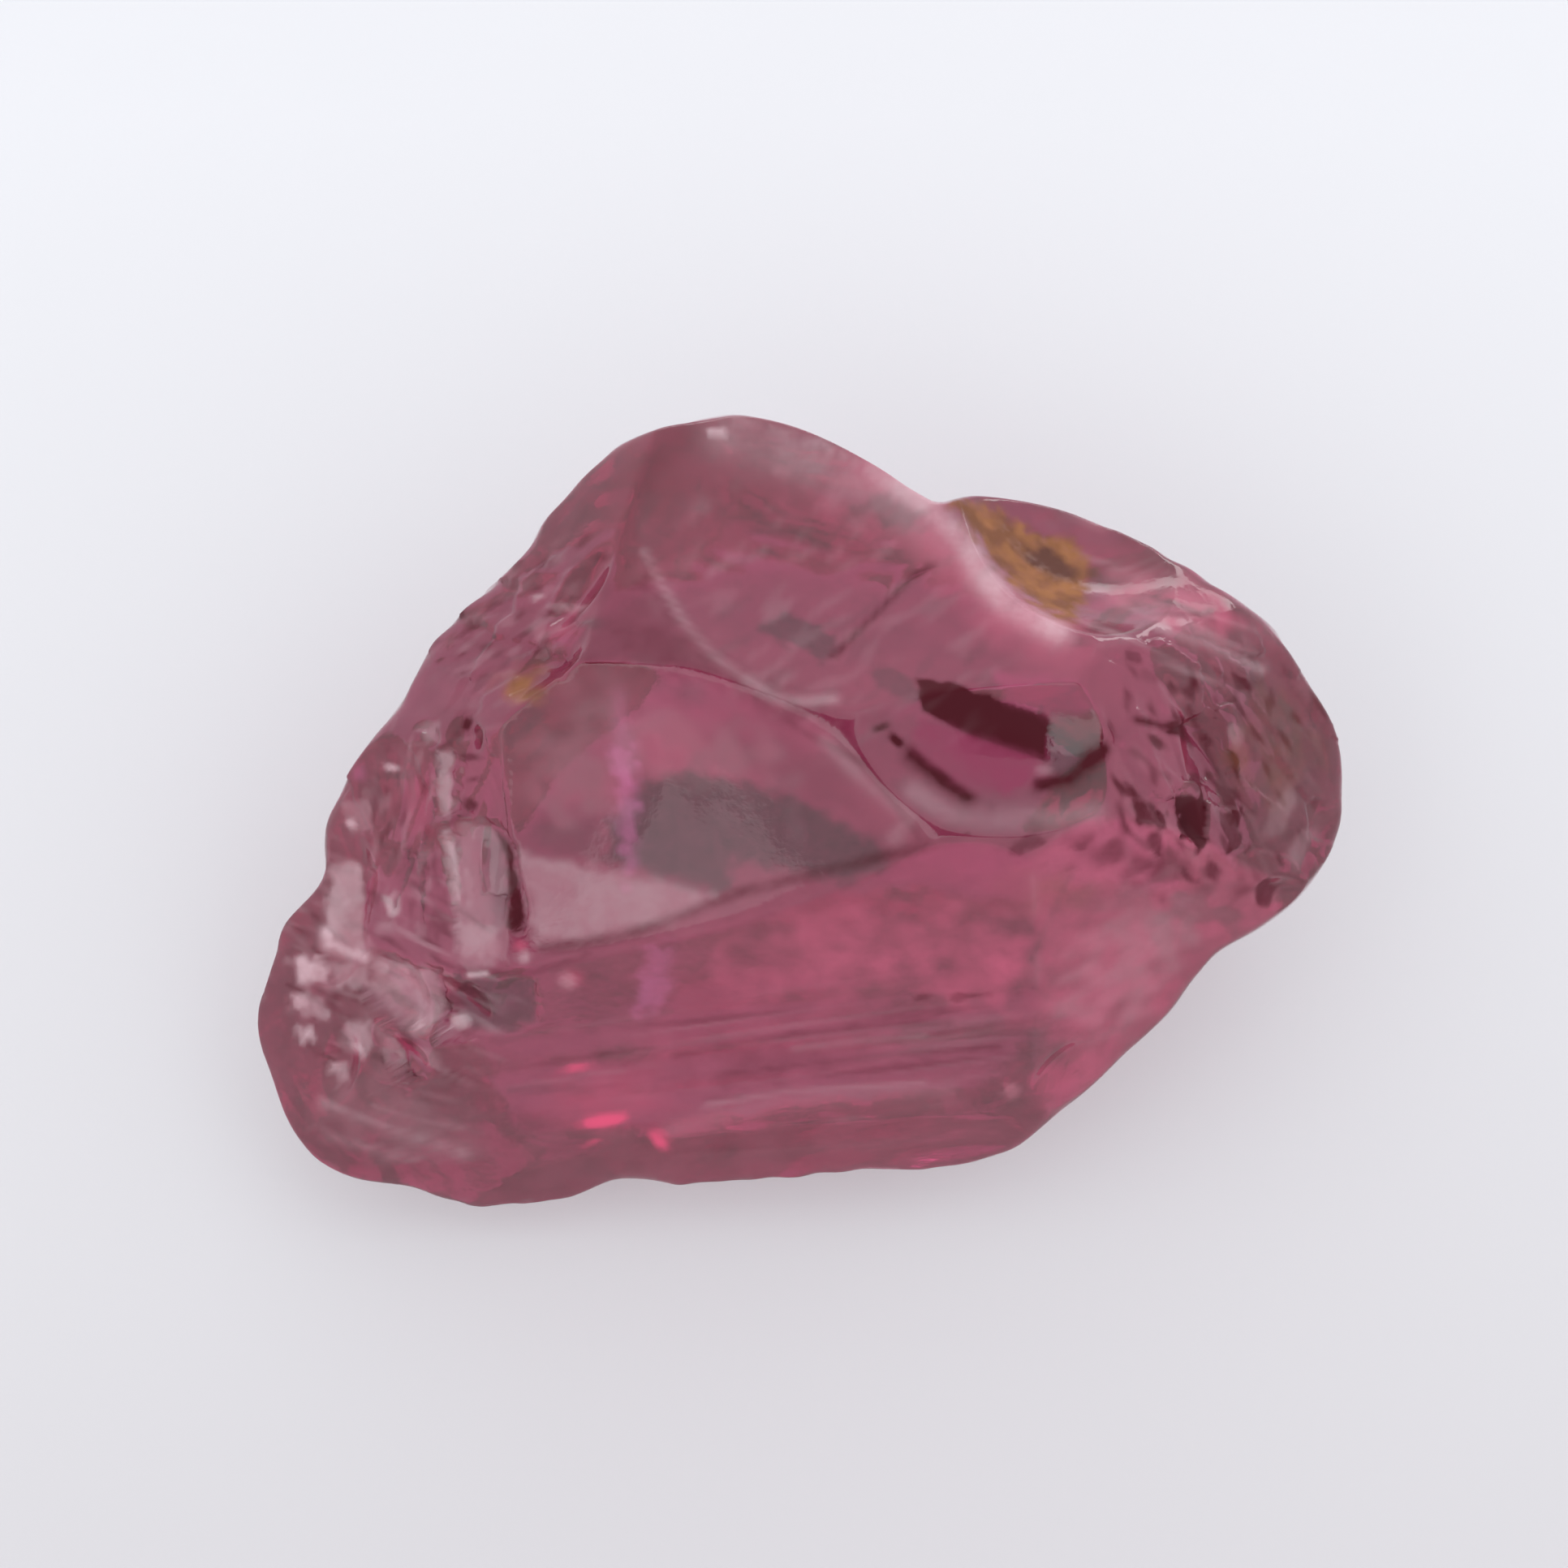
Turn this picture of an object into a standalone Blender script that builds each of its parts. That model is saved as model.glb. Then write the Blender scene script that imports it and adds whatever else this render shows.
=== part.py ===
"""Rough rhodolite garnet: one broken crystal, lying on its flattest fracture.

The stone is described as it is seen from above the front. Its measures are millimetres from its
heart: u runs to the viewer's right, v up the view, and w towards the viewer. Every point of the
surface can be seen from the heart, so the stone is a ball of rays that each end at the nearest
fracture. The stone is then turned to the way it rests, and cut flat underneath.
"""

from dataclasses import dataclass
from math import radians

import bmesh
import bpy
import numpy as np
from mathutils import Matrix, Vector

MM = 0.001

# The viewer looks down at this angle above the horizon
VIEW_ELEVATION = radians(75.0)

# How far below the heart the resting face lies
REST_DEPTH = 3.25

# The skin is a cushion that reaches this far above and below the heart
CROWN_REACH = 3.30
ROOT_REACH = 4.20

# An ellipse has a fullness of 2, and a fuller cushion is flatter on top and steeper at the rim
SKIN_FULLNESS = 2.6

# How much the rim climbs towards the viewer for each millimetre up the view
RIM_LEAN = 0.16

# The rim is rounded over a few degrees of its turn. Its notches fade out within a height above and
# below it, into an outline that is averaged over more degrees
RIM_ROUNDING_DEGREES = 5
NOTCH_HEIGHT = 2.5
NOTCH_DEGREES = 50
FULL_TURN = 360

# How rounded the ridge between two fractures is
RIDGE_ROUNDING = 0.03

# The ball of rays is stretched like the stone, so that its triangles stay even, and it is finer
# along the ridges
RAY_SUBDIVISIONS = 7
RAY_STRETCH = (6.0, 4.6, 3.6)
RIDGE_SUBDIVISIONS = 2
SOLID_TRIANGLES = 9600

# A block that is wider than the stone, to cut it flat underneath
CUTTER_SIZE = 20.0

# A ray that never meets a fracture is given this reach
NO_MEETING = 1000.0
TINY = 1e-9

# The outline that the viewer sees, from the right-hand end round by the back
RIM = [
    (6.70, 0.07), (6.56, 0.95), (6.00, 1.89), (5.84, 2.18), (4.99, 2.78), (4.08, 3.33),
    (2.98, 3.73), (1.97, 3.85), (1.63, 3.72), (1.25, 3.94), (0.69, 4.32), (0.10, 4.61),
    (-0.84, 4.87), (-1.39, 4.79), (-2.34, 4.46), (-2.69, 4.09), (-3.56, 2.93), (-4.66, 1.92),
    (-4.85, 1.38), (-5.34, 0.85), (-5.84, 0.00), (-5.91, -0.85), (-6.50, -1.54), (-6.81, -2.45),
    (-6.74, -3.05), (-6.18, -4.13), (-5.94, -4.41), (-5.54, -4.54), (-4.91, -4.62), (-4.03, -5.00),
    (-3.55, -5.01), (-2.41, -4.58), (-1.94, -4.62), (-1.44, -4.74), (0.10, -4.53), (1.63, -4.44),
    (2.65, -4.19), (3.21, -3.69), (3.98, -2.99), (4.48, -2.51), (4.74, -2.10), (5.09, -1.70),
    (5.54, -1.48), (6.05, -1.10), (6.41, -0.60),
]


def quadric_reach(rays, floor, outward, along, bow_along, bow_aside):
    """How far each ray runs to a curved sheet with its lowest point at floor, facing outward."""
    aside = np.cross(outward, along)
    square = bow_along * (rays @ along) ** 2 + bow_aside * (rays @ aside) ** 2
    slope = (
        rays @ outward
        + 2 * bow_along * (floor @ along) * (rays @ along)
        + 2 * bow_aside * (floor @ aside) * (rays @ aside)
    )
    rest = floor @ outward + bow_along * (floor @ along) ** 2 + bow_aside * (floor @ aside) ** 2
    inside = slope**2 - 4 * square * rest
    divisor = slope + np.sqrt(np.maximum(inside, 0.0))
    meets = (inside > 0) & (divisor > TINY)
    return np.where(meets, 2 * rest / np.maximum(divisor, TINY), NO_MEETING)


@dataclass(frozen=True)
class Fracture:
    """A broken face through three points, the first two at the ends of its length.

    hollow is how far it dips below them in the middle, or swells if it is negative, and stretch
    is how much longer than wide its curve is.
    """

    name: str
    through: tuple
    hollow: float = 0.0
    stretch: float = 1.0

    def reach(self, rays):
        """How far each ray runs to the face."""
        corners = np.array(self.through)
        middle = corners.mean(axis=0)
        length, width = corners[1] - corners[0], corners[2] - corners[0]
        outward = np.cross(length, width)
        outward *= np.sign(outward @ middle) / np.linalg.norm(outward)
        along = length / np.linalg.norm(length)
        away = corners - middle
        aside = away @ np.cross(outward, along)
        bow = self.hollow / np.mean((away @ along / self.stretch) ** 2 + aside**2)
        floor = middle - outward * self.hollow
        return quadric_reach(rays, floor, outward, along, bow / self.stretch**2, bow)


@dataclass(frozen=True)
class Chip:
    """A small scoop broken out of the surface towards a point."""

    towards: tuple
    facing: tuple
    along: tuple
    length: float
    width: float
    depth: float

    def reach(self, rays):
        """How far each ray runs to the scoop."""
        point = np.array(self.towards)
        point = point / np.linalg.norm(point)
        surface = np.min(face_reaches(point[None, :]))
        outward = np.array(self.facing) / np.linalg.norm(self.facing)
        along = np.array(self.along) - outward * (outward @ self.along)
        along /= np.linalg.norm(along)
        floor = point * surface - outward * self.depth
        bow_along = self.depth / (self.length / 2) ** 2
        bow_aside = self.depth / (self.width / 2) ** 2
        return quadric_reach(rays, floor, outward, along, bow_along, bow_aside)


CROWN = [
    Fracture("crown band", ((-2.00, 3.50, 1.66), (-2.90, 1.80, 2.52), (-1.20, 1.90, 2.60))),
    Fracture("crest band", ((-2.20, 1.92, 2.62), (1.50, -0.25, 3.00), (0.20, 1.07, 2.84))),
    Fracture("top shell", ((-2.10, 4.20, 1.30), (3.60, 2.30, 2.30), (0.00, 1.32, 3.02)), 0.35, 1.4),
    Fracture("spoon", ((0.45, 1.22, 2.86), (3.85, 0.70, 2.72), (2.10, 0.00, 3.00)), 0.34, 1.7),
    Fracture("left shell", ((-3.85, 0.50, 2.00), (1.50, -0.28, 2.90), (-1.10, -0.90, 2.27)), 0.22),
    Fracture("front face", ((-3.40, -1.80, 1.85), (1.50, -0.45, 2.85), (-1.40, -4.40, -0.60)), 0.1),
    Fracture("front right", ((3.60, -0.50, 2.45), (5.70, -1.20, 0.70), (2.70, -3.40, 0.30))),
    Fracture("front rim", ((-1.90, -3.72, 0.05), (2.10, -3.32, 0.35), (0.10, -4.58, -1.10))),
    Fracture("right lobe", ((3.90, 2.20, 2.20), (3.70, 0.30, 2.70), (6.50, 0.00, 0.50)), -0.15),
    Fracture("right end", ((5.40, 1.30, 1.20), (6.00, -0.90, 0.75), (6.66, 0.10, -0.10))),
    Fracture("back lobe", ((3.60, 2.30, 2.20), (1.60, 3.90, 1.60), (5.90, 2.00, 1.25))),
    Fracture("stained valley", ((1.78, 3.90, 1.10), (3.70, 2.25, 2.20), (4.30, 3.10, 0.95)), 0.45),
    Fracture("left strip", ((-4.40, 1.40, 1.75), (-3.70, -1.90, 1.75), (-3.80, 0.60, 2.08))),
    Fracture("left flank", ((-4.50, 1.20, 1.65), (-4.20, -1.80, 1.60), (-6.10, -0.40, -0.10))),
    Fracture("left shoulder", ((-4.70, 1.90, 0.50), (-3.60, 2.95, 0.70), (-3.60, 1.20, 2.20))),
    Fracture("left tip", ((-4.00, -2.72, 1.30), (-6.70, -3.20, -0.30), (-4.55, -4.92, -0.60)), -0.1),
]

ROOT = [
    Fracture("back left", ((-2.30, 4.65, 0.50), (-5.25, 1.65, 0.00), (-2.30, 1.60, -3.60)), 0.12),
    Fracture("back right", ((-0.60, 5.20, 0.60), (5.30, 3.40, 0.20), (1.60, 2.30, -3.70)), 0.18),
    Fracture("right back", ((5.70, 3.00, 0.20), (7.00, 0.30, -0.20), (3.90, 0.60, -3.40)), 0.10),
    Fracture("right front", ((6.80, -0.60, -0.40), (4.50, -3.00, -0.70), (3.00, -1.00, -3.30)), 0.15),
    Fracture("front wall", ((-3.60, -5.20, -1.00), (3.00, -4.42, -1.00), (-0.40, -3.15, -2.50)), 0.10),
    Fracture("front left", ((-6.70, -3.60, -0.90), (-4.90, -4.85, -1.10), (-3.90, -2.30, -2.80))),
    Fracture("left back", ((-5.65, 1.00, -0.20), (-7.05, -2.30, -0.60), (-3.90, -0.60, -3.20)), 0.12),
]

CHIPS = [
    Chip((-5.65, -1.20, 0.35), (-0.75, 0.10, 0.65), (0.0, 1.0, 0.0), 1.30, 0.70, 0.14),
    Chip((-6.10, -2.05, 0.00), (-0.60, 0.30, 0.75), (1.0, 0.2, 0.0), 0.90, 0.50, 0.14),
    Chip((-5.45, -2.50, 0.60), (-0.45, 0.25, 0.85), (1.0, -0.7, 0.0), 1.20, 0.80, 0.20),
    Chip((-4.70, -2.35, 1.10), (-0.20, -0.35, 0.90), (1.0, -0.8, 0.0), 1.50, 0.70, 0.16),
    Chip((-5.90, -3.10, 0.00), (-0.70, -0.20, 0.70), (0.5, 1.0, 0.0), 1.00, 0.60, 0.15),
    Chip((-5.10, -3.00, 0.60), (-0.35, -0.45, 0.80), (1.0, -0.4, 0.0), 0.90, 0.50, 0.12),
    Chip((-3.95, -0.85, 1.90), (-0.30, -0.05, 0.95), (0.1, -1.0, 0.0), 1.90, 0.75, 0.14),
    Chip((-4.25, 1.00, 1.80), (-0.35, 0.25, 0.90), (0.2, -1.0, 0.0), 1.00, 0.50, 0.12),
    Chip((-5.20, 0.10, 0.90), (-0.70, 0.00, 0.70), (0.1, 1.0, 0.0), 1.40, 0.80, 0.12),
    Chip((-3.40, 1.70, 2.10), (-0.30, 0.55, 0.80), (1.0, 0.6, 0.0), 1.10, 0.60, 0.14),
    Chip((-2.90, 2.75, 1.80), (-0.45, 0.50, 0.75), (0.7, 1.0, 0.0), 1.20, 0.60, 0.14),
    Chip((4.65, -0.20, 2.00), (0.30, -0.10, 0.95), (0.5, -1.0, 0.0), 1.10, 0.60, 0.14),
    Chip((5.20, 0.35, 1.60), (0.45, 0.15, 0.90), (0.4, -1.0, 0.0), 1.60, 0.60, 0.12),
    Chip((5.60, -1.00, 0.70), (0.50, -0.45, 0.75), (1.0, -0.3, 0.0), 1.10, 0.60, 0.14),
    Chip((3.10, -3.10, 0.30), (0.45, -0.65, 0.60), (0.5, 1.0, 0.0), 0.90, 0.50, 0.12),
]


def clear_scene():
    """Removes the objects that the scene starts with."""
    for thing in list(bpy.data.objects):
        bpy.data.objects.remove(thing)


def averaged_over(widths, degrees):
    """The widths at each degree of a turn, each averaged with its neighbours."""
    window = np.hanning(degrees + 2)
    thrice = np.tile(widths, 3)
    return np.convolve(thrice, window / window.sum(), mode="same")[FULL_TURN : 2 * FULL_TURN]


def skin_reach(rays):
    """How far each ray runs to the cushion, whose widest line is the rim."""
    rim = np.array(RIM)
    turn = np.arange(FULL_TURN)
    corners = np.degrees(np.arctan2(rim[:, 1], rim[:, 0]))
    widths = np.interp(turn, corners, np.hypot(rim[:, 0], rim[:, 1]), period=FULL_TURN)
    heading = np.degrees(np.arctan2(rays[:, 1], rays[:, 0]))
    notched, plain = (
        np.interp(heading, turn, averaged_over(widths, degrees), period=FULL_TURN)
        for degrees in (RIM_ROUNDING_DEGREES, NOTCH_DEGREES)
    )
    across = np.hypot(rays[:, 0], rays[:, 1])
    rise = rays[:, 2] - RIM_LEAN * rays[:, 1]
    level = rise / np.maximum(across, TINY) * plain
    width = plain + (notched - plain) * np.exp(-((level / NOTCH_HEIGHT) ** 2))
    height = np.where(rise > 0, CROWN_REACH, ROOT_REACH)
    fullness = (across / width) ** SKIN_FULLNESS + np.abs(rise / height) ** SKIN_FULLNESS
    return fullness ** (-1 / SKIN_FULLNESS)


def eased_nearest(reaches):
    """The shortest of several reaches, eased where two of them meet."""
    shortest = np.min(reaches, axis=0)
    crowd = sum(np.exp((shortest - reach) / RIDGE_ROUNDING) for reach in reaches)
    return shortest - RIDGE_ROUNDING * np.log(crowd)


def face_reaches(rays):
    """How far each ray runs to the skin and to each broken face."""
    return [skin_reach(rays)] + [face.reach(rays) for face in CROWN + ROOT]


def all_reaches(rays):
    """How far each ray runs to the skin, to each broken face and to each chip."""
    return face_reaches(rays) + [chip.reach(rays) for chip in CHIPS]


def resting_turn():
    """The turn from the viewer's frame to the way the stone rests, with +Z up."""
    return Matrix.Rotation(radians(90.0) - VIEW_ELEVATION, 3, "X")


def stone_material():
    """Purplish red garnet."""
    material = bpy.data.materials.new("garnet")
    material.use_nodes = True
    shader = material.node_tree.nodes["Principled BSDF"]
    shader.inputs["Base Color"].default_value = (0.31, 0.09, 0.14, 1.0)
    shader.inputs["Roughness"].default_value = 0.12
    shader.inputs["Metallic"].default_value = 0.0
    return material


def link_object(name, shape):
    """Makes an object of a shape and puts it in the scene."""
    mesh = bpy.data.meshes.new(name)
    shape.to_mesh(mesh)
    shape.free()
    thing = bpy.data.objects.new(name, mesh)
    bpy.context.scene.collection.objects.link(thing)
    return thing


def rays_of(shape):
    """The unit ray through each vertex of a ball."""
    rays = np.array([vertex.co for vertex in shape.verts])
    return rays / np.linalg.norm(rays, axis=1)[:, None]


def ball_of_rays():
    """A ball, stretched like the stone, whose triangles are smaller where the faces meet."""
    ball = bmesh.new()
    bmesh.ops.create_icosphere(ball, subdivisions=RAY_SUBDIVISIONS, radius=1.0)
    bmesh.ops.scale(ball, verts=ball.verts, vec=RAY_STRETCH)
    for _ in range(RIDGE_SUBDIVISIONS):
        ball.verts.index_update()
        nearest = np.argmin(all_reaches(rays_of(ball)), axis=0)
        ridges = [
            edge
            for edge in ball.edges
            if nearest[edge.verts[0].index] != nearest[edge.verts[1].index]
        ]
        bmesh.ops.subdivide_edges(ball, edges=ridges, cuts=1, use_grid_fill=True)
        bmesh.ops.triangulate(ball, faces=ball.faces)
    return ball


def stone_shape():
    """The stone as it rests, with the middle of its box above the origin."""
    shape = ball_of_rays()
    rays = rays_of(shape)
    reach = eased_nearest(all_reaches(rays))
    for vertex, point in zip(shape.verts, rays * reach[:, None] * MM):
        vertex.co = Vector(point)
    bmesh.ops.rotate(shape, verts=shape.verts, cent=(0, 0, 0), matrix=resting_turn())
    points = np.array([vertex.co for vertex in shape.verts])
    middle = (points.min(axis=0) + points.max(axis=0)) / 2
    bmesh.ops.translate(shape, verts=shape.verts, vec=(-middle[0], -middle[1], REST_DEPTH * MM))
    return shape


def cut_flat_underneath(stone):
    """Cuts away what would lie below the ground, so that the resting face is flat."""
    shape = bmesh.new()
    bmesh.ops.create_cube(shape, size=CUTTER_SIZE * MM)
    bmesh.ops.translate(shape, verts=shape.verts, vec=(0, 0, -CUTTER_SIZE * MM / 2))
    cutter = link_object("ground_cutter", shape)
    cutter.hide_render = True
    cutter.display_type = "WIRE"
    cut = stone.modifiers.new("flat_underneath", "BOOLEAN")
    cut.operation = "DIFFERENCE"
    cut.solver = "EXACT"
    cut.object = cutter


def main():
    """Builds the stone."""
    clear_scene()
    stone = link_object("garnet", stone_shape())
    stone.data.materials.append(stone_material())
    thin = stone.modifiers.new("fewer_triangles", "DECIMATE")
    thin.ratio = SOLID_TRIANGLES / len(stone.data.polygons)
    cut_flat_underneath(stone)


main()
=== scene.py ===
"""The looks of a rough rhodolite garnet: one broken crystal, lying on its flattest fracture.

The stone is described as it is seen from above the front. Its measures are millimetres from its
heart: u runs to the viewer's right, v up the view, and w towards the viewer. Every point of the
surface can be seen from the heart, so the stone is a ball of rays that each end at the nearest
broken face. Each face then gets the ribs, steps and crumbs that its fracture left on it.
"""

import logging
from collections.abc import Mapping, Sequence
from dataclasses import dataclass
from enum import Enum
from math import cos, radians, sin
from typing import Any, Protocol

import bmesh
import bpy
import numpy as np
from mathutils import Matrix, Vector, noise

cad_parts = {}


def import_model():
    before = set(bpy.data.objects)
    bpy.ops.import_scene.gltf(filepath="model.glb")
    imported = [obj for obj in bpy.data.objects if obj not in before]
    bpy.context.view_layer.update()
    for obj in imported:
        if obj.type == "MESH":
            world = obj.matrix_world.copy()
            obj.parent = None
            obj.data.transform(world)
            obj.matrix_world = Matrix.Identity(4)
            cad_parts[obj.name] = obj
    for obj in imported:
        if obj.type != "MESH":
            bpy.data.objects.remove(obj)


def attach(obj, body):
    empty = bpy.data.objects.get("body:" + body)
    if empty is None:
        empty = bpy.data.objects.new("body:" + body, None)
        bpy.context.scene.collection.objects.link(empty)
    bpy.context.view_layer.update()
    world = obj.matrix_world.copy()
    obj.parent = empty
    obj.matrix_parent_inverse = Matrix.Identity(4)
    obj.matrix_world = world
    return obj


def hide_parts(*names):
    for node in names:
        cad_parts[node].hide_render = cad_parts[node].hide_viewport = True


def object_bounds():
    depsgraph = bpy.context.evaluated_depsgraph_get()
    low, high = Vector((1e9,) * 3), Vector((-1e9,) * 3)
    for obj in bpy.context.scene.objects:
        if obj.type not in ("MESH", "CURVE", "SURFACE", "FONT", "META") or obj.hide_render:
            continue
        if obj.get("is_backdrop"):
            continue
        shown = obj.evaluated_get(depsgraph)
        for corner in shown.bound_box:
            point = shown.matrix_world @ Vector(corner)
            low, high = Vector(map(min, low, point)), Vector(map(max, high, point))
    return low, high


LOG = logging.getLogger("garnet")

MM = 0.001
TINY = 1e-9
FULL_TURN = 360

# A ray that never meets a face is given this reach
NO_MEETING = 1000.0

# Washes are laid on what the viewer sees, down to this height in the viewer's frame
SEEN_FROM = -0.6

# How many noise cells a millimetre has where the edge of a blot or a shard is ragged
BLOT_RAG = 3.5
SHARD_RAG = 7.0

# Marks fade out between this height in the viewer's frame and the heart's
FULL_MARKS_FROM = 0.5

# How often curved ribs waver on their way round their source
RIB_WAVES = 1.5

# Sets the tilts of neighbouring crumbs apart
CRUMB_SPREAD = 7.3

# How often light is followed on its way, in all and through glass
LIGHT_BOUNCES = 16
GLASS_BOUNCES = 14

Point = tuple[float, float, float]
Place = tuple[float, float]
Colour = tuple[float, float, float]


def noise_over(*axes: np.ndarray) -> np.ndarray:
    """Reads smooth noise at many places.

    Args:
        axes: The three coordinates of the places, as arrays or numbers.

    Returns:
        The noise at each place, from about -1 to 1.
    """
    places = np.broadcast_arrays(*axes)
    return np.array([noise.noise(Vector(place)) for place in zip(*places)])


def smooth_step(values: np.ndarray) -> np.ndarray:
    """Eases values from 0 to 1, and holds those outside that range."""
    held = np.clip(values, 0.0, 1.0)
    return held * held * (3 - 2 * held)


def risen(noise_values: np.ndarray) -> np.ndarray:
    """Shares from noise: 0 where it is below its middle, and 1 where it is halfway to its top."""
    return smooth_step(noise_values * 2)


def turned(u: np.ndarray, v: np.ndarray, degrees: float) -> tuple[np.ndarray, np.ndarray]:
    """Measures places along and across a heading.

    Args:
        u: How far right each place is.
        v: How far up each place is.
        degrees: The heading, from the right, against the clock.

    Returns:
        The distances along the heading, and across it.
    """
    turn = radians(degrees)
    return u * cos(turn) + v * sin(turn), v * cos(turn) - u * sin(turn)


@dataclass(frozen=True)
class Zone:
    """An oval part of the view, with a soft edge."""

    centre: Place
    radii: Place
    turn: float = 0.0
    edge: float = 0.35

    def share(self, at: np.ndarray) -> np.ndarray:
        """Measures how far points belong to the zone.

        Args:
            at: The points.

        Returns:
            How much each point belongs to the zone, from 0 to 1.
        """
        along, across = turned(at[:, 0] - self.centre[0], at[:, 1] - self.centre[1], self.turn)
        away = np.hypot(along / self.radii[0], across / self.radii[1])
        return smooth_step((1 - away) / self.edge)


class Relief(Protocol):
    """What a fracture leaves on its face."""

    def height(self, at: np.ndarray) -> np.ndarray:
        """How far each point stands out of the plain face, in millimetres."""


@dataclass(frozen=True)
class Streaks:
    """Straight ribs side by side, where the fracture ran in fine steps."""

    heading: float
    spacing: float
    run: float
    depth: float
    zone: Zone
    seed: float = 0.0

    def height(self, at: np.ndarray) -> np.ndarray:
        """Raises the ribs.

        Args:
            at: The points.

        Returns:
            How far each point stands out of the plain face, in millimetres.
        """
        along, across = turned(at[:, 0], at[:, 1], self.heading)
        ribs = noise_over(along / self.run, across / self.spacing, self.seed)
        return self.depth * ribs * self.zone.share(at)


@dataclass(frozen=True)
class Ripples:
    """Curved ribs round the point where a shell-like fracture set out."""

    source: Place
    spacing: float
    depth: float
    zone: Zone
    seed: float = 0.0

    def height(self, at: np.ndarray) -> np.ndarray:
        """Raises the ribs.

        Args:
            at: The points.

        Returns:
            How far each point stands out of the plain face, in millimetres.
        """
        right, up = at[:, 0] - self.source[0], at[:, 1] - self.source[1]
        away, heading = np.hypot(right, up), np.arctan2(up, right)
        ribs = noise_over(away / self.spacing, heading * RIB_WAVES, self.seed)
        return self.depth * ribs * self.zone.share(at)


@dataclass(frozen=True)
class Rings:
    """Ribs round a point in space, for the faces that stand upright or look down."""

    source: Point
    spacing: float
    depth: float
    seed: float = 0.0

    def height(self, at: np.ndarray) -> np.ndarray:
        """Raises the ribs.

        Args:
            at: The points.

        Returns:
            How far each point stands out of the plain face, in millimetres.
        """
        offset = at - self.source
        away, heading = np.linalg.norm(offset, axis=1), np.arctan2(offset[:, 2], offset[:, 0])
        return self.depth * noise_over(away / self.spacing, heading * RIB_WAVES, self.seed)


@dataclass(frozen=True)
class Crumbs:
    """Small tilted facets with steps between them, where the stone has crumbled."""

    size: float
    tilt: float
    depth: float
    zone: Zone
    stretch: float = 1.0
    heading: float = 0.0
    seed: float = 0.0

    def height(self, at: np.ndarray) -> np.ndarray:
        """Tilts and drops the facets.

        Args:
            at: The points.

        Returns:
            How far each point stands out of the plain face, in millimetres.
        """
        share = self.zone.share(at)
        heights = np.zeros(len(at))
        along, across = turned(at[:, 0], at[:, 1], self.heading)
        for index in np.flatnonzero(share > 0):
            place = Vector((along[index] / self.stretch, across[index], self.seed)) / self.size
            centre = noise.voronoi(place)[1][0]
            lean = noise.cell_vector(centre * CRUMB_SPREAD)
            away = place - centre
            slope = (lean.x - 0.5) * away.x + (lean.y - 0.5) * away.y
            heights[index] = self.tilt * self.size * slope - self.depth * lean.z
        return heights * share


def line_distance(at: np.ndarray, line: Sequence[Place]) -> tuple[np.ndarray, np.ndarray]:
    """Measures how far points are from a bent line in the view.

    Args:
        at: The points.
        line: The line's corners.

    Returns:
        The distance of each point, and on which side of the line it is: 1 for the left.
    """
    nearest = np.full(len(at), NO_MEETING)
    side = np.ones(len(at))
    for start, end in zip(line, line[1:]):
        step = np.subtract(end, start)
        offset = at[:, :2] - start
        share = np.clip(offset @ step / (step @ step), 0.0, 1.0)
        away = np.linalg.norm(offset - share[:, None] * step, axis=1)
        closer = away < nearest
        side[closer] = np.sign(step[0] * offset[:, 1] - step[1] * offset[:, 0])[closer]
        nearest = np.minimum(nearest, away)
    return nearest, side


class Wash(Enum):
    """What a patch of the surface is washed with, named as its attribute on the mesh."""

    STAIN = "ochre_stain"
    # Pale bruising, and painted highlights and sheens along ridges and on small facets
    BRUISE_AND_HIGHLIGHT = "pale_bruise"
    # Painted shade that greys the crystal and the milk, and darkens the ochre crust to brown
    DUSK_SHADE = "dusk_shade"
    FROST = "frost"
    # A milky haze, also used as painted light on whole faces and beside the sheens
    MILK = "pink_milk"
    # Painted shade, also for the dark reflections in the spoon
    SHADE = "deep_shade"
    # A painted violet sheen, light reflected inside the stone
    VIOLET = "violet_sheen"
    # Painted pink glints, and pink light in the spoon's dark reflection
    FLASH = "pink_flash"


@dataclass(frozen=True)
class Blot:
    """A rounded block in the view, with a ragged edge."""

    centre: Place
    radii: Place
    turn: float = 0.0
    edge: float = 0.35
    ragged: float = 0.7
    fullness: float = 3.0

    def share(self, at: np.ndarray) -> np.ndarray:
        """Lays the blot on what the viewer sees.

        Args:
            at: The points.

        Returns:
            How much each point belongs to the blot, from 0 to 1.
        """
        along, across = turned(at[:, 0] - self.centre[0], at[:, 1] - self.centre[1], self.turn)
        spread = np.abs(along / self.radii[0]) ** self.fullness
        spread += np.abs(across / self.radii[1]) ** self.fullness
        away = spread ** (1 / self.fullness)
        share = np.zeros(len(at))
        near = (away < 1 + self.ragged) & (at[:, 2] > SEEN_FROM)
        rag = noise_over(*(at[near] * BLOT_RAG).T) * self.ragged
        share[near] = smooth_step((1 - away[near] + rag) / self.edge)
        return share


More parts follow.
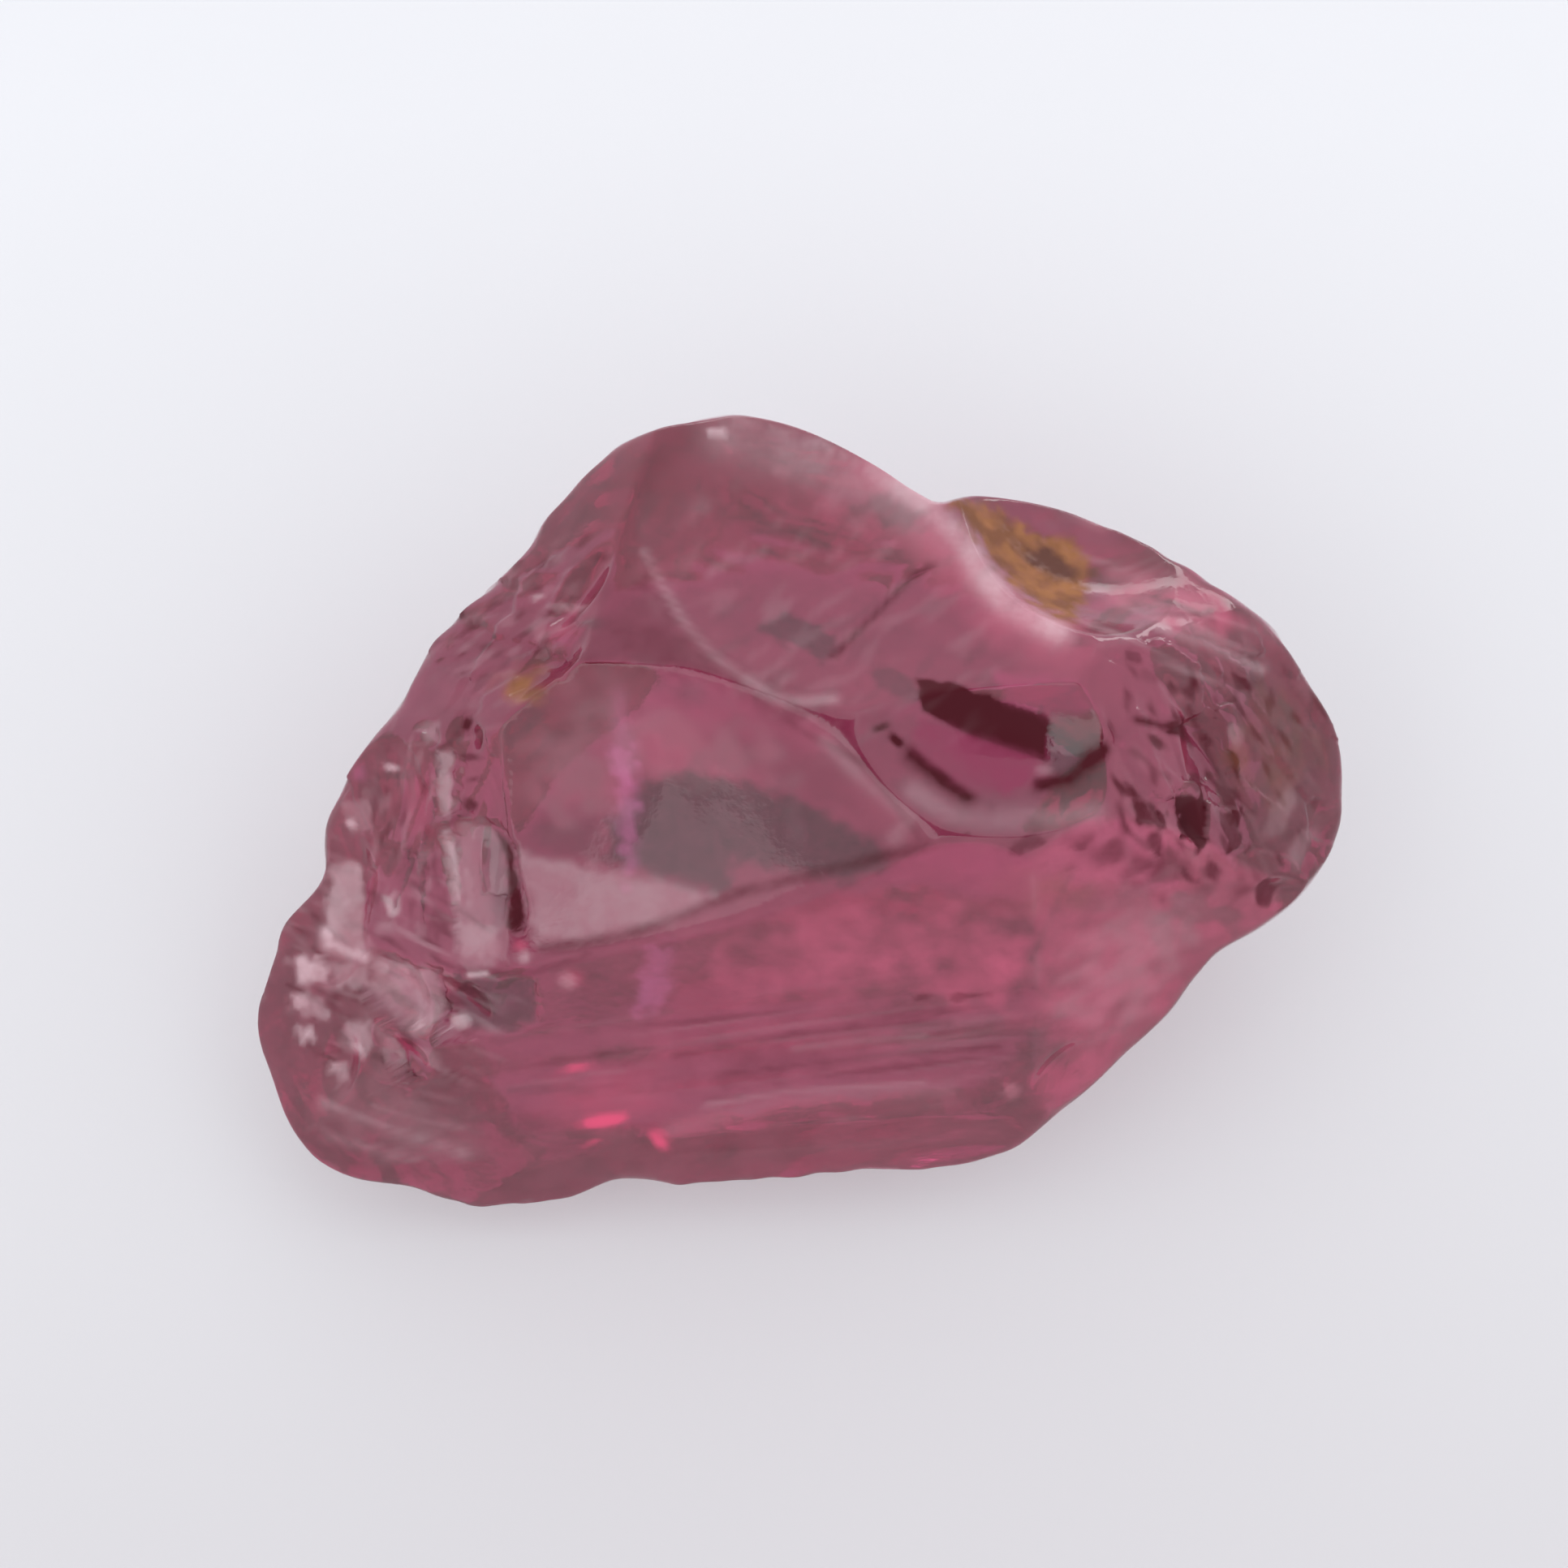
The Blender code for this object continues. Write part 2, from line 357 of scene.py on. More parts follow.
@dataclass(frozen=True)
class Shard:
    """A straight-sided part of the view, with a slightly ragged edge."""

    corners: tuple[Place, ...]
    edge: float = 0.12
    ragged: float = 0.07

    def share(self, at: np.ndarray) -> np.ndarray:
        """Lays the shard on what the viewer sees.

        Args:
            at: The points.

        Returns:
            How much each point belongs to the shard, from 0 to 1.
        """
        corners = np.array(self.corners)
        margin = self.edge + self.ragged
        near = np.all(at[:, :2] > corners.min(axis=0) - margin, axis=1)
        near &= np.all(at[:, :2] < corners.max(axis=0) + margin, axis=1) & (at[:, 2] > SEEN_FROM)
        share = np.zeros(len(at))
        if not near.any():
            return share
        points = at[near]
        inside = np.zeros(len(points), bool)
        for start, end in zip(corners, np.roll(corners, -1, axis=0)):
            rise = end[1] - start[1] or TINY
            crossing = start[0] + (points[:, 1] - start[1]) / rise * (end[0] - start[0])
            straddles = (start[1] > points[:, 1]) != (end[1] > points[:, 1])
            inside ^= straddles & (points[:, 0] < crossing)
        away, _ = line_distance(points, self.corners + self.corners[:1])
        depth = np.where(inside, away, -away)
        depth += noise_over(*(points * SHARD_RAG).T) * self.ragged
        share[near] = smooth_step(depth / self.edge + 0.5)
        return share

    def level_along(self, at: np.ndarray, heading: float) -> np.ndarray:
        """Measures where points lie along the shard.

        Args:
            at: The points.
            heading: Which way to measure, from the right, against the clock.

        Returns:
            How far along the heading each point lies, from 0 at one end of the shard to 1.
        """
        own, _ = turned(*np.array(self.corners).T, heading)
        along, _ = turned(at[:, 0], at[:, 1], heading)
        return np.clip((along - own.min()) / (own.max() - own.min()), 0.0, 1.0)


@dataclass(frozen=True)
class Patch:
    """A patch of a wash."""

    wash: Wash
    area: Blot | Shard
    strength: float = 1.0

    def share(self, at: np.ndarray) -> np.ndarray:
        """How strongly each point is washed, from 0 to 1."""
        return self.area.share(at) * self.strength


@dataclass(frozen=True)
class Thread:
    """A thin line of a wash."""

    wash: Wash
    line: tuple[Place, ...]
    width: float
    strength: float = 1.0

    def share(self, at: np.ndarray) -> np.ndarray:
        """How strongly each point is washed, from 0 to 1."""
        away, _ = line_distance(at, self.line)
        return self.strength * np.exp(-((away / self.width) ** 2)) * (at[:, 2] > SEEN_FROM)


@dataclass(frozen=True)
class Veins:
    """A wash that follows the ribs of a pattern, whose depth is 1."""

    wash: Wash
    pattern: Relief
    strength: float = 1.0

    def share(self, at: np.ndarray) -> np.ndarray:
        """How strongly each point is washed, from 0 to 1."""
        ribs = risen(self.pattern.height(at))
        return self.strength * ribs * (at[:, 2] > SEEN_FROM)


@dataclass(frozen=True)
class Tone:
    """What the whole of a face is washed with, from 0 to 1 each: painted light and shade by face."""

    milk: float = 0.15
    dusk_shade: float = 0.0
    shade: float = 0.0


@dataclass(frozen=True)
class Plate:
    """A small block that has dropped and tilted, with steps round it.

    drops is how deep it lies at its near end and at its far end, along its heading.
    """

    area: Shard
    heading: float
    drops: Place

    def height(self, at: np.ndarray) -> np.ndarray:
        """How far each point stands out of the plain face, in millimetres."""
        level = self.area.level_along(at, self.heading)
        return -(self.drops[0] + (self.drops[1] - self.drops[0]) * level) * self.area.share(at)


@dataclass(frozen=True)
class Groove:
    """A narrow furrow along a line, or a raised thread if its depth is negative."""

    line: tuple[Place, ...]
    width: float
    depth: float

    def height(self, at: np.ndarray) -> np.ndarray:
        """How far each point stands out of the plain face, in millimetres."""
        away, _ = line_distance(at, self.line)
        return -self.depth * np.exp(-((away / self.width) ** 2))


@dataclass(frozen=True)
class Scarp:
    """A step down along a line: sharp at the line, and running out on the line's left side."""

    line: tuple[Place, ...]
    depth: float
    run_out: float

    def height(self, at: np.ndarray) -> np.ndarray:
        """How far each point stands out of the plain face, in millimetres."""
        away, side = line_distance(at, self.line)
        return -self.depth * np.exp(-away / self.run_out) * (side > 0)


def quadric_reach(
    rays: np.ndarray,
    floor: np.ndarray,
    outward: np.ndarray,
    along: np.ndarray,
    bow_along: float,
    bow_aside: float,
) -> np.ndarray:
    """Runs rays from the heart to a curved sheet.

    Args:
        rays: The unit rays.
        floor: The sheet's lowest point.
        outward: Which way the sheet faces.
        along: The heading of its length.
        bow_along: How much it curves along its length.
        bow_aside: How much it curves across it.

    Returns:
        How far each ray runs.
    """
    aside = np.cross(outward, along)
    square = bow_along * (rays @ along) ** 2 + bow_aside * (rays @ aside) ** 2
    slope = (
        rays @ outward
        + 2 * bow_along * (floor @ along) * (rays @ along)
        + 2 * bow_aside * (floor @ aside) * (rays @ aside)
    )
    rest = floor @ outward + bow_along * (floor @ along) ** 2 + bow_aside * (floor @ aside) ** 2
    inside = slope**2 - 4 * square * rest
    divisor = slope + np.sqrt(np.maximum(inside, 0.0))
    meets = (inside > 0) & (divisor > TINY)
    return np.where(meets, 2 * rest / np.maximum(divisor, TINY), NO_MEETING)


@dataclass(frozen=True)
class Fracture:
    """A broken face through three points, the first two at the ends of its length.

    hollow is how far it dips below them in the middle, or swells if it is negative, and stretch
    is how much longer than wide its curve is.
    """

    name: str
    through: tuple[Point, Point, Point]
    hollow: float = 0.0
    stretch: float = 1.0
    relief: tuple[Relief, ...] = ()
    tone: Tone = Tone()

    def reach(self, rays: np.ndarray) -> np.ndarray:
        """Runs rays to the face.

        Args:
            rays: The unit rays.

        Returns:
            How far each ray runs.
        """
        corners = np.array(self.through)
        middle = corners.mean(axis=0)
        length, width = corners[1] - corners[0], corners[2] - corners[0]
        outward = np.cross(length, width)
        outward *= np.sign(outward @ middle) / np.linalg.norm(outward)
        along = length / np.linalg.norm(length)
        away = corners - middle
        aside = away @ np.cross(outward, along)
        bow = self.hollow / np.mean((away @ along / self.stretch) ** 2 + aside**2)
        floor = middle - outward * self.hollow
        return quadric_reach(rays, floor, outward, along, bow / self.stretch**2, bow)


@dataclass(frozen=True)
class Chip:
    """A small scoop broken out of the surface towards a point."""

    towards: Point
    facing: Point
    along: Point
    length: float
    width: float
    depth: float

    def reach(self, rays: np.ndarray, surface: float) -> np.ndarray:
        """Runs rays to the scoop.

        Args:
            rays: The unit rays.
            surface: How far the unbroken surface is from the heart there.

        Returns:
            How far each ray runs.
        """
        point = np.array(self.towards)
        point = point / np.linalg.norm(point)
        outward = np.array(self.facing) / np.linalg.norm(self.facing)
        along = np.array(self.along) - outward * (outward @ self.along)
        along /= np.linalg.norm(along)
        floor = point * surface - outward * self.depth
        bow_along = self.depth / (self.length / 2) ** 2
        bow_aside = self.depth / (self.width / 2) ** 2
        return quadric_reach(rays, floor, outward, along, bow_along, bow_aside)


@dataclass(frozen=True)
class Skin:
    """The cushion that the fractures are cut from, whose widest line is the rim."""

    rim: tuple[Place, ...]
    crown_reach: float = 3.30
    root_reach: float = 4.20
    fullness: float = 2.6
    rim_lean: float = 0.16
    rounding_degrees: int = 5
    notch_height: float = 2.5
    notch_degrees: int = 50

    def widths(self, degrees: int) -> np.ndarray:
        """Measures the rim all round.

        Args:
            degrees: Over how many degrees each width is averaged.

        Returns:
            The rim's width at each degree of a turn.
        """
        rim = np.array(self.rim)
        corners = np.degrees(np.arctan2(rim[:, 1], rim[:, 0]))
        plain = np.interp(
            np.arange(FULL_TURN), corners, np.hypot(rim[:, 0], rim[:, 1]), period=FULL_TURN
        )
        window = np.hanning(degrees + 2)
        thrice = np.tile(plain, 3)
        return np.convolve(thrice, window / window.sum(), mode="same")[FULL_TURN : 2 * FULL_TURN]

    def reach(self, rays: np.ndarray) -> np.ndarray:
        """Runs rays to the skin.

        Args:
            rays: The unit rays.

        Returns:
            How far each ray runs.
        """
        heading = np.degrees(np.arctan2(rays[:, 1], rays[:, 0]))
        notched, plain = (
            np.interp(heading, np.arange(FULL_TURN), self.widths(degrees), period=FULL_TURN)
            for degrees in (self.rounding_degrees, self.notch_degrees)
        )
        across = np.hypot(rays[:, 0], rays[:, 1])
        rise = rays[:, 2] - self.rim_lean * rays[:, 1]
        level = rise / np.maximum(across, TINY) * plain
        width = plain + (notched - plain) * np.exp(-((level / self.notch_height) ** 2))
        height = np.where(rise > 0, self.crown_reach, self.root_reach)
        curve = (across / width) ** self.fullness + np.abs(rise / height) ** self.fullness
        return curve ** (-1 / self.fullness)


# The outline that the viewer sees, from the right-hand end round by the back
RIM = (
    (6.70, 0.07), (6.56, 0.95), (6.00, 1.89), (5.84, 2.18), (4.99, 2.78), (4.08, 3.33),
    (2.98, 3.73), (1.97, 3.85), (1.63, 3.72), (1.25, 3.94), (0.69, 4.32), (0.10, 4.61),
    (-0.84, 4.87), (-1.39, 4.79), (-2.34, 4.46), (-2.69, 4.09), (-3.56, 2.93), (-4.66, 1.92),
    (-4.85, 1.38), (-5.34, 0.85), (-5.84, 0.00), (-5.91, -0.85), (-6.50, -1.54), (-6.81, -2.45),
    (-6.74, -3.05), (-6.18, -4.13), (-5.94, -4.41), (-5.54, -4.54), (-4.91, -4.62), (-4.03, -5.00),
    (-3.55, -5.01), (-2.41, -4.58), (-1.94, -4.62), (-1.44, -4.74), (0.10, -4.53), (1.63, -4.44),
    (2.65, -4.19), (3.21, -3.69), (3.98, -2.99), (4.48, -2.51), (4.74, -2.10), (5.09, -1.70),
    (5.54, -1.48), (6.05, -1.10), (6.41, -0.60),
)  # fmt: skip

TIP = Zone((-5.30, -1.90), (1.90, 2.40), 60.0, 0.5)
LEFT_SIDE = Zone((-4.60, -0.20), (1.50, 2.60), 75.0, 0.5)
FRONT_MIDDLE = Zone((-0.30, -2.90), (4.60, 1.00), 4.0, 0.6)
FRONT_LOW = Zone((-0.40, -4.00), (4.00, 0.80), 3.0, 0.6)
RIGHT_SIDE = Zone((5.00, 0.60), (2.00, 2.20), 0.0, 0.5)
TOP_MIDDLE = Zone((0.40, 2.60), (3.20, 2.40), -20.0, 0.6)
LEFT_MIDDLE = Zone((-1.60, 0.20), (3.00, 1.70), -10.0, 0.6)
BACK_SIDE = Zone((4.30, 2.60), (2.20, 1.20), -30.0, 0.6)
SPOON = Zone((2.10, 0.70), (2.00, 1.10), -8.0, 0.5)
SHOULDER = Zone((-3.55, 2.30), (1.50, 1.10), 45.0, 0.5)
FLANK = Zone((-4.75, -0.20), (0.95, 2.00), 10.0, 0.6)

CROWN = (
    Fracture(
        "crown band",
        ((-2.00, 3.50, 1.66), (-2.90, 1.80, 2.52), (-1.20, 1.90, 2.60)),
        tone=Tone(0.14, 0.04, 0.20),
    ),
    Fracture(
        "crest band",
        ((-2.20, 1.92, 2.62), (1.50, -0.25, 3.00), (0.20, 1.07, 2.84)),
        tone=Tone(0.10, 0.0, 0.14),
    ),
    Fracture(
        "top shell",
        ((-2.10, 4.20, 1.30), (3.60, 2.30, 2.30), (0.00, 1.32, 3.02)),
        0.35,
        1.4,
        (Ripples((-1.30, 4.60), 0.55, 0.020, TOP_MIDDLE),),
        tone=Tone(0.20, 0.10, 0.03),
    ),
    Fracture(
        "spoon",
        ((0.45, 1.22, 2.86), (3.85, 0.70, 2.72), (2.10, 0.00, 3.00)),
        0.34,
        1.7,
        tone=Tone(0.03, 0.0, 0.0),
    ),
    Fracture(
        "left shell",
        ((-3.85, 0.50, 2.00), (1.50, -0.28, 2.90), (-1.10, -0.90, 2.27)),
        0.22,
        1.0,
        (Ripples((-3.90, 0.60), 0.50, 0.014, LEFT_MIDDLE, 3.0),),
        tone=Tone(0.26, 0.12, 0.10),
    ),
    Fracture(
        "front face",
        ((-3.40, -1.80, 1.85), (1.50, -0.45, 2.85), (-1.40, -4.40, -0.60)),
        0.1,
        1.0,
        (Streaks(7.0, 0.22, 5.0, 0.022, FRONT_MIDDLE),),
        tone=Tone(0.30, 0.0, 0.10),
    ),
    Fracture(
        "front right",
        ((3.60, -0.50, 2.45), (5.70, -1.20, 0.70), (2.70, -3.40, 0.30)),
        tone=Tone(0.60, 0.06, 0.0),
    ),
    Fracture(
        "front rim",
        ((-1.90, -3.72, 0.05), (2.10, -3.32, 0.35), (0.10, -4.58, -1.10)),
        0.0,
        1.0,
        (Streaks(4.0, 0.20, 3.5, 0.028, FRONT_LOW, 5.0),),
        tone=Tone(0.30, 0.10, 0.14),
    ),
    Fracture(
        "right lobe",
        ((3.90, 2.20, 2.20), (3.70, 0.30, 2.70), (6.50, 0.00, 0.50)),
        -0.15,
        1.0,
        (Crumbs(0.46, 0.45, 0.05, RIGHT_SIDE, 1.8, -62.0, 11.0),),
        tone=Tone(0.26, 0.06, 0.08),
    ),
    Fracture(
        "right end",
        ((5.40, 1.30, 1.20), (6.00, -0.90, 0.75), (6.66, 0.10, -0.10)),
        0.0,
        1.0,
        (Crumbs(0.46, 0.40, 0.05, RIGHT_SIDE, 1.8, -50.0, 12.0),),
        tone=Tone(0.18, 0.10, 0.26),
    ),
    Fracture(
        "back lobe",
        ((3.60, 2.30, 2.20), (1.60, 3.90, 1.60), (5.90, 2.00, 1.25)),
        0.0,
        1.0,
        (Streaks(-20.0, 0.24, 1.8, 0.016, BACK_SIDE, 8.0),),
        tone=Tone(0.20, 0.10, 0.0),
    ),
    Fracture("stained valley", ((1.78, 3.90, 1.10), (3.70, 2.25, 2.20), (4.30, 3.10, 0.95)), 0.45),
    Fracture(
        "left strip",
        ((-4.40, 1.40, 1.75), (-3.70, -1.90, 1.75), (-3.80, 0.60, 2.08)),
        0.0,
        1.0,
        (Crumbs(0.55, 0.6, 0.07, LEFT_SIDE, 2.4, 82.0, 4.0),),
        tone=Tone(0.20, 0.0, 0.05),
    ),
    Fracture(
        "left flank",
        ((-4.50, 1.20, 1.65), (-4.20, -1.80, 1.60), (-6.10, -0.40, -0.10)),
        0.0,
        1.0,
        (Crumbs(0.60, 0.5, 0.07, LEFT_SIDE, 2.2, 82.0, 9.0),),
        tone=Tone(0.30, 0.0, 0.10),
    ),
    Fracture(
        "left shoulder",
        ((-4.70, 1.90, 0.50), (-3.60, 2.95, 0.70), (-3.60, 1.20, 2.20)),
        0.0,
        1.0,
        (Crumbs(0.42, 0.50, 0.05, SHOULDER, 1.5, 35.0, 13.0),),
        tone=Tone(0.20, 0.0, 0.20),
    ),
    Fracture(
        "left tip",
        ((-4.00, -2.72, 1.30), (-6.70, -3.20, -0.30), (-4.55, -4.92, -0.60)),
        -0.1,
        1.0,
        (Crumbs(0.60, 0.6, 0.08, TIP, 1.8, -30.0, 6.0),),
        tone=Tone(0.34, 0.35, 0.12),
    ),
)

ROOT = (
    Fracture(
        "back left",
        ((-2.30, 4.65, 0.50), (-5.25, 1.65, 0.00), (-2.30, 1.60, -3.60)),
        0.12,
        1.0,
        (Rings((-5.00, 2.20, 0.80), 0.34, 0.045, 61.0),),
        Tone(0.22, 0.06, 0.08),
    ),
    Fracture(
        "back right",
        ((-0.60, 5.20, 0.60), (5.30, 3.40, 0.20), (1.60, 2.30, -3.70)),
        0.18,
        1.0,
        (Rings((-1.20, 5.20, 1.40), 0.42, 0.050, 62.0),),
        Tone(0.26, 0.0, 0.04),
    ),
    Fracture(
        "right back",
        ((5.70, 3.00, 0.20), (7.00, 0.30, -0.20), (3.90, 0.60, -3.40)),
        0.10,
        1.0,
        (Rings((5.00, 3.40, -2.60), 0.34, 0.045, 63.0),),
        Tone(0.20, 0.10, 0.10),
    ),
    Fracture(
        "right front",
        ((6.80, -0.60, -0.40), (4.50, -3.00, -0.70), (3.00, -1.00, -3.30)),
        0.15,
        1.0,
        (Rings((6.90, -0.60, 0.60), 0.34, 0.045, 64.0),),
        Tone(0.24, 0.0, 0.06),
    ),
    Fracture(
        "front wall",
        ((-3.60, -5.20, -1.00), (3.00, -4.42, -1.00), (-0.40, -3.15, -2.50)),
        0.10,
        1.0,
        (Rings((3.40, -4.60, 0.20), 0.38, 0.045, 65.0),),
        Tone(0.24, 0.04, 0.10),
    ),
    Fracture(
        "front left",
        ((-6.70, -3.60, -0.90), (-4.90, -4.85, -1.10), (-3.90, -2.30, -2.80)),
        0.0,
        1.0,
        (Rings((-6.60, -4.20, 0.30), 0.30, 0.045, 66.0),),
        Tone(0.22, 0.16, 0.10),
    ),
    Fracture(
        "left back",
        ((-5.65, 1.00, -0.20), (-7.05, -2.30, -0.60), (-3.90, -0.60, -3.20)),
        0.12,
        1.0,
        (Rings((-5.40, 1.60, -2.40), 0.36, 0.050, 67.0),),
        Tone(0.24, 0.10, 0.06),
    ),
)

CHIPS = (
    Chip((-5.65, -1.20, 0.35), (-0.75, 0.10, 0.65), (0.0, 1.0, 0.0), 1.30, 0.70, 0.14),
    Chip((-6.10, -2.05, 0.00), (-0.60, 0.30, 0.75), (1.0, 0.2, 0.0), 0.90, 0.50, 0.14),
    Chip((-5.45, -2.50, 0.60), (-0.45, 0.25, 0.85), (1.0, -0.7, 0.0), 1.20, 0.80, 0.20),
    Chip((-4.70, -2.35, 1.10), (-0.20, -0.35, 0.90), (1.0, -0.8, 0.0), 1.50, 0.70, 0.16),
    Chip((-5.90, -3.10, 0.00), (-0.70, -0.20, 0.70), (0.5, 1.0, 0.0), 1.00, 0.60, 0.15),
    Chip((-5.10, -3.00, 0.60), (-0.35, -0.45, 0.80), (1.0, -0.4, 0.0), 0.90, 0.50, 0.12),
    Chip((-3.95, -0.85, 1.90), (-0.30, -0.05, 0.95), (0.1, -1.0, 0.0), 1.90, 0.75, 0.14),
    Chip((-4.25, 1.00, 1.80), (-0.35, 0.25, 0.90), (0.2, -1.0, 0.0), 1.00, 0.50, 0.12),
    Chip((-5.20, 0.10, 0.90), (-0.70, 0.00, 0.70), (0.1, 1.0, 0.0), 1.40, 0.80, 0.12),
    Chip((-3.40, 1.70, 2.10), (-0.30, 0.55, 0.80), (1.0, 0.6, 0.0), 1.10, 0.60, 0.14),
    Chip((-2.90, 2.75, 1.80), (-0.45, 0.50, 0.75), (0.7, 1.0, 0.0), 1.20, 0.60, 0.14),
    Chip((4.65, -0.20, 2.00), (0.30, -0.10, 0.95), (0.5, -1.0, 0.0), 1.10, 0.60, 0.14),
    Chip((5.20, 0.35, 1.60), (0.45, 0.15, 0.90), (0.4, -1.0, 0.0), 1.60, 0.60, 0.12),
    Chip((5.60, -1.00, 0.70), (0.50, -0.45, 0.75), (1.0, -0.3, 0.0), 1.10, 0.60, 0.14),
    Chip((3.10, -3.10, 0.30), (0.45, -0.65, 0.60), (0.5, 1.0, 0.0), 0.90, 0.50, 0.12),
)

# Small blocks that have broken loose at the crumbly side, each given by its corners
LONG_PLATE = Shard(
    (
        (-4.32, -0.26), (-4.08, -0.10), (-3.80, -0.16), (-3.62, -0.38), (-3.56, -0.70),
        (-3.62, -1.42), (-3.66, -1.78), (-3.86, -1.90), (-4.20, -1.84), (-4.26, -1.20),
    )
)  # fmt: skip
LONG_NOTCH = Shard(
    (
        (-3.74, -0.22), (-3.54, -0.42), (-3.46, -0.84), (-3.38, -1.24), (-3.46, -1.48),
        (-3.60, -1.38), (-3.58, -0.96), (-3.62, -0.50),
    ),
    0.10,
    0.03,
)  # fmt: skip
WHITE_PLATE = Shard(((-5.82, -0.62), (-5.44, -0.64), (-5.38, -1.74), (-5.62, -1.76), (-5.90, -1.62)))
UPPER_BLOCK = Shard(((-6.30, -1.83), (-5.92, -1.80), (-5.88, -2.10), (-6.26, -2.12)))
LOWER_BLOCK = Shard(((-6.35, -2.28), (-6.10, -2.26), (-5.82, -2.46), (-5.84, -2.56), (-6.20, -2.52)))
TIP_BLOCK = Shard(((-6.24, -2.68), (-6.08, -2.68), (-6.06, -2.84), (-6.20, -2.84)))
BIG_PLATE = Shard(
    (
        (-5.28, -1.80), (-5.06, -1.78), (-4.46, -1.96), (-4.34, -2.44), (-4.62, -2.72),
        (-4.92, -2.60), (-5.30, -2.20),
    )
)  # fmt: skip
SQUARE_PLATE = Shard(((-4.22, -2.00), (-3.30, -2.04), (-3.26, -2.56), (-3.66, -2.70), (-4.16, -2.60)))
ROUND_BLOCK = Shard(
    (
        (-5.80, -2.34), (-5.62, -2.18), (-5.36, -2.22), (-5.20, -2.52), (-5.40, -2.66),
        (-5.76, -2.60),
    )
)  # fmt: skip
GREY_BLOCK = Shard(((-5.68, -2.60), (-5.34, -2.58), (-5.28, -2.92), (-5.42, -3.00), (-5.62, -2.84)))
SPLINTER = Shard(((-5.26, -2.66), (-5.00, -2.74), (-4.82, -3.14), (-5.00, -3.20)))
SMALL_CHIP = Shard(((-5.82, -3.12), (-5.66, -3.10), (-5.58, -3.32), (-5.70, -3.36)))
HIGH_BLOCK = Shard(((-5.70, 0.12), (-5.32, 0.16), (-5.30, -0.20), (-5.52, -0.28)))
HIGH_STRIP = Shard(((-4.46, 0.76), (-4.26, 0.74), (-4.24, 0.10), (-4.34, -0.06), (-4.44, 0.20)))
HIGH_LUMP = Shard(((-4.70, 1.06), (-4.48, 1.10), (-4.42, 0.84), (-4.62, 0.82)))

# The grey part of the left shell, with painted shade
GREY_PART = Shard(
    (
        (-2.40, -0.14), (-1.97, 0.36), (-1.32, 0.50), (-0.71, 0.36), (0.09, 0.12),
        (0.97, -0.38), (1.02, -0.60), (0.48, -0.87), (-0.15, -0.73), (-0.84, -0.60),
        (-0.89, -0.97), (-1.28, -0.94), (-1.97, -0.72), (-2.40, -0.66),
    ),
    0.24,
    0.10,
)  # fmt: skip

# The part of the valley at the back that has an ochre crust
STAINED_PART = Shard(
    (
        (1.86, 3.80), (2.42, 3.68), (2.78, 3.40), (3.30, 3.32), (3.52, 2.98), (3.46, 2.62),
        (3.25, 2.32), (2.78, 2.54), (2.38, 2.94), (2.16, 3.28), (1.96, 3.55),
    ),
    0.16,
    0.12,
)  # fmt: skip

# The two magenta parts of the spoon's painted dark reflection, before the dark bar and behind it
SPOON_FLOOR = Shard(
    ((1.40, 1.14), (2.80, 0.64), (2.90, 0.44), (2.40, 0.20), (1.90, 0.28), (1.30, 0.76)),
    0.20,
)
SPOON_BACK = Shard(((2.30, 1.66), (3.25, 1.60), (3.50, 1.25), (3.00, 1.14), (2.40, 1.34)), 0.20)

TOP_CRACK = ((1.56, 3.00), (1.30, 2.84), (0.90, 2.42), (0.36, 1.88))

MARKS = (
    Groove(TOP_CRACK, 0.06, 0.03),
    Scarp(((-4.22, 0.60), (-4.36, -0.40), (-4.26, -1.90)), 0.07, 0.22),
    Plate(LONG_PLATE, 90.0, (0.02, 0.10)),
    Plate(LONG_NOTCH, 90.0, (0.16, 0.12)),
    Plate(WHITE_PLATE, -90.0, (0.02, 0.14)),
    Plate(UPPER_BLOCK, 0.0, (0.12, 0.02)),
    Plate(LOWER_BLOCK, 0.0, (0.14, 0.03)),
    Plate(TIP_BLOCK, 0.0, (0.10, 0.02)),
    Plate(BIG_PLATE, -50.0, (0.02, 0.16)),
    Plate(SQUARE_PLATE, 20.0, (0.02, 0.10)),
    Plate(ROUND_BLOCK, -70.0, (0.12, 0.02)),
    Plate(GREY_BLOCK, -60.0, (0.02, 0.12)),
    Plate(SPLINTER, -60.0, (0.02, 0.10)),
    Plate(SMALL_CHIP, -60.0, (0.02, 0.10)),
    Plate(HIGH_BLOCK, -90.0, (0.01, 0.10)),
    Plate(HIGH_STRIP, -90.0, (0.10, 0.04)),
    Plate(HIGH_LUMP, 0.0, (0.10, 0.02)),
    Groove(((4.37, 1.61), (4.90, 0.80), (5.43, 0.00)), 0.06, 0.05),
)

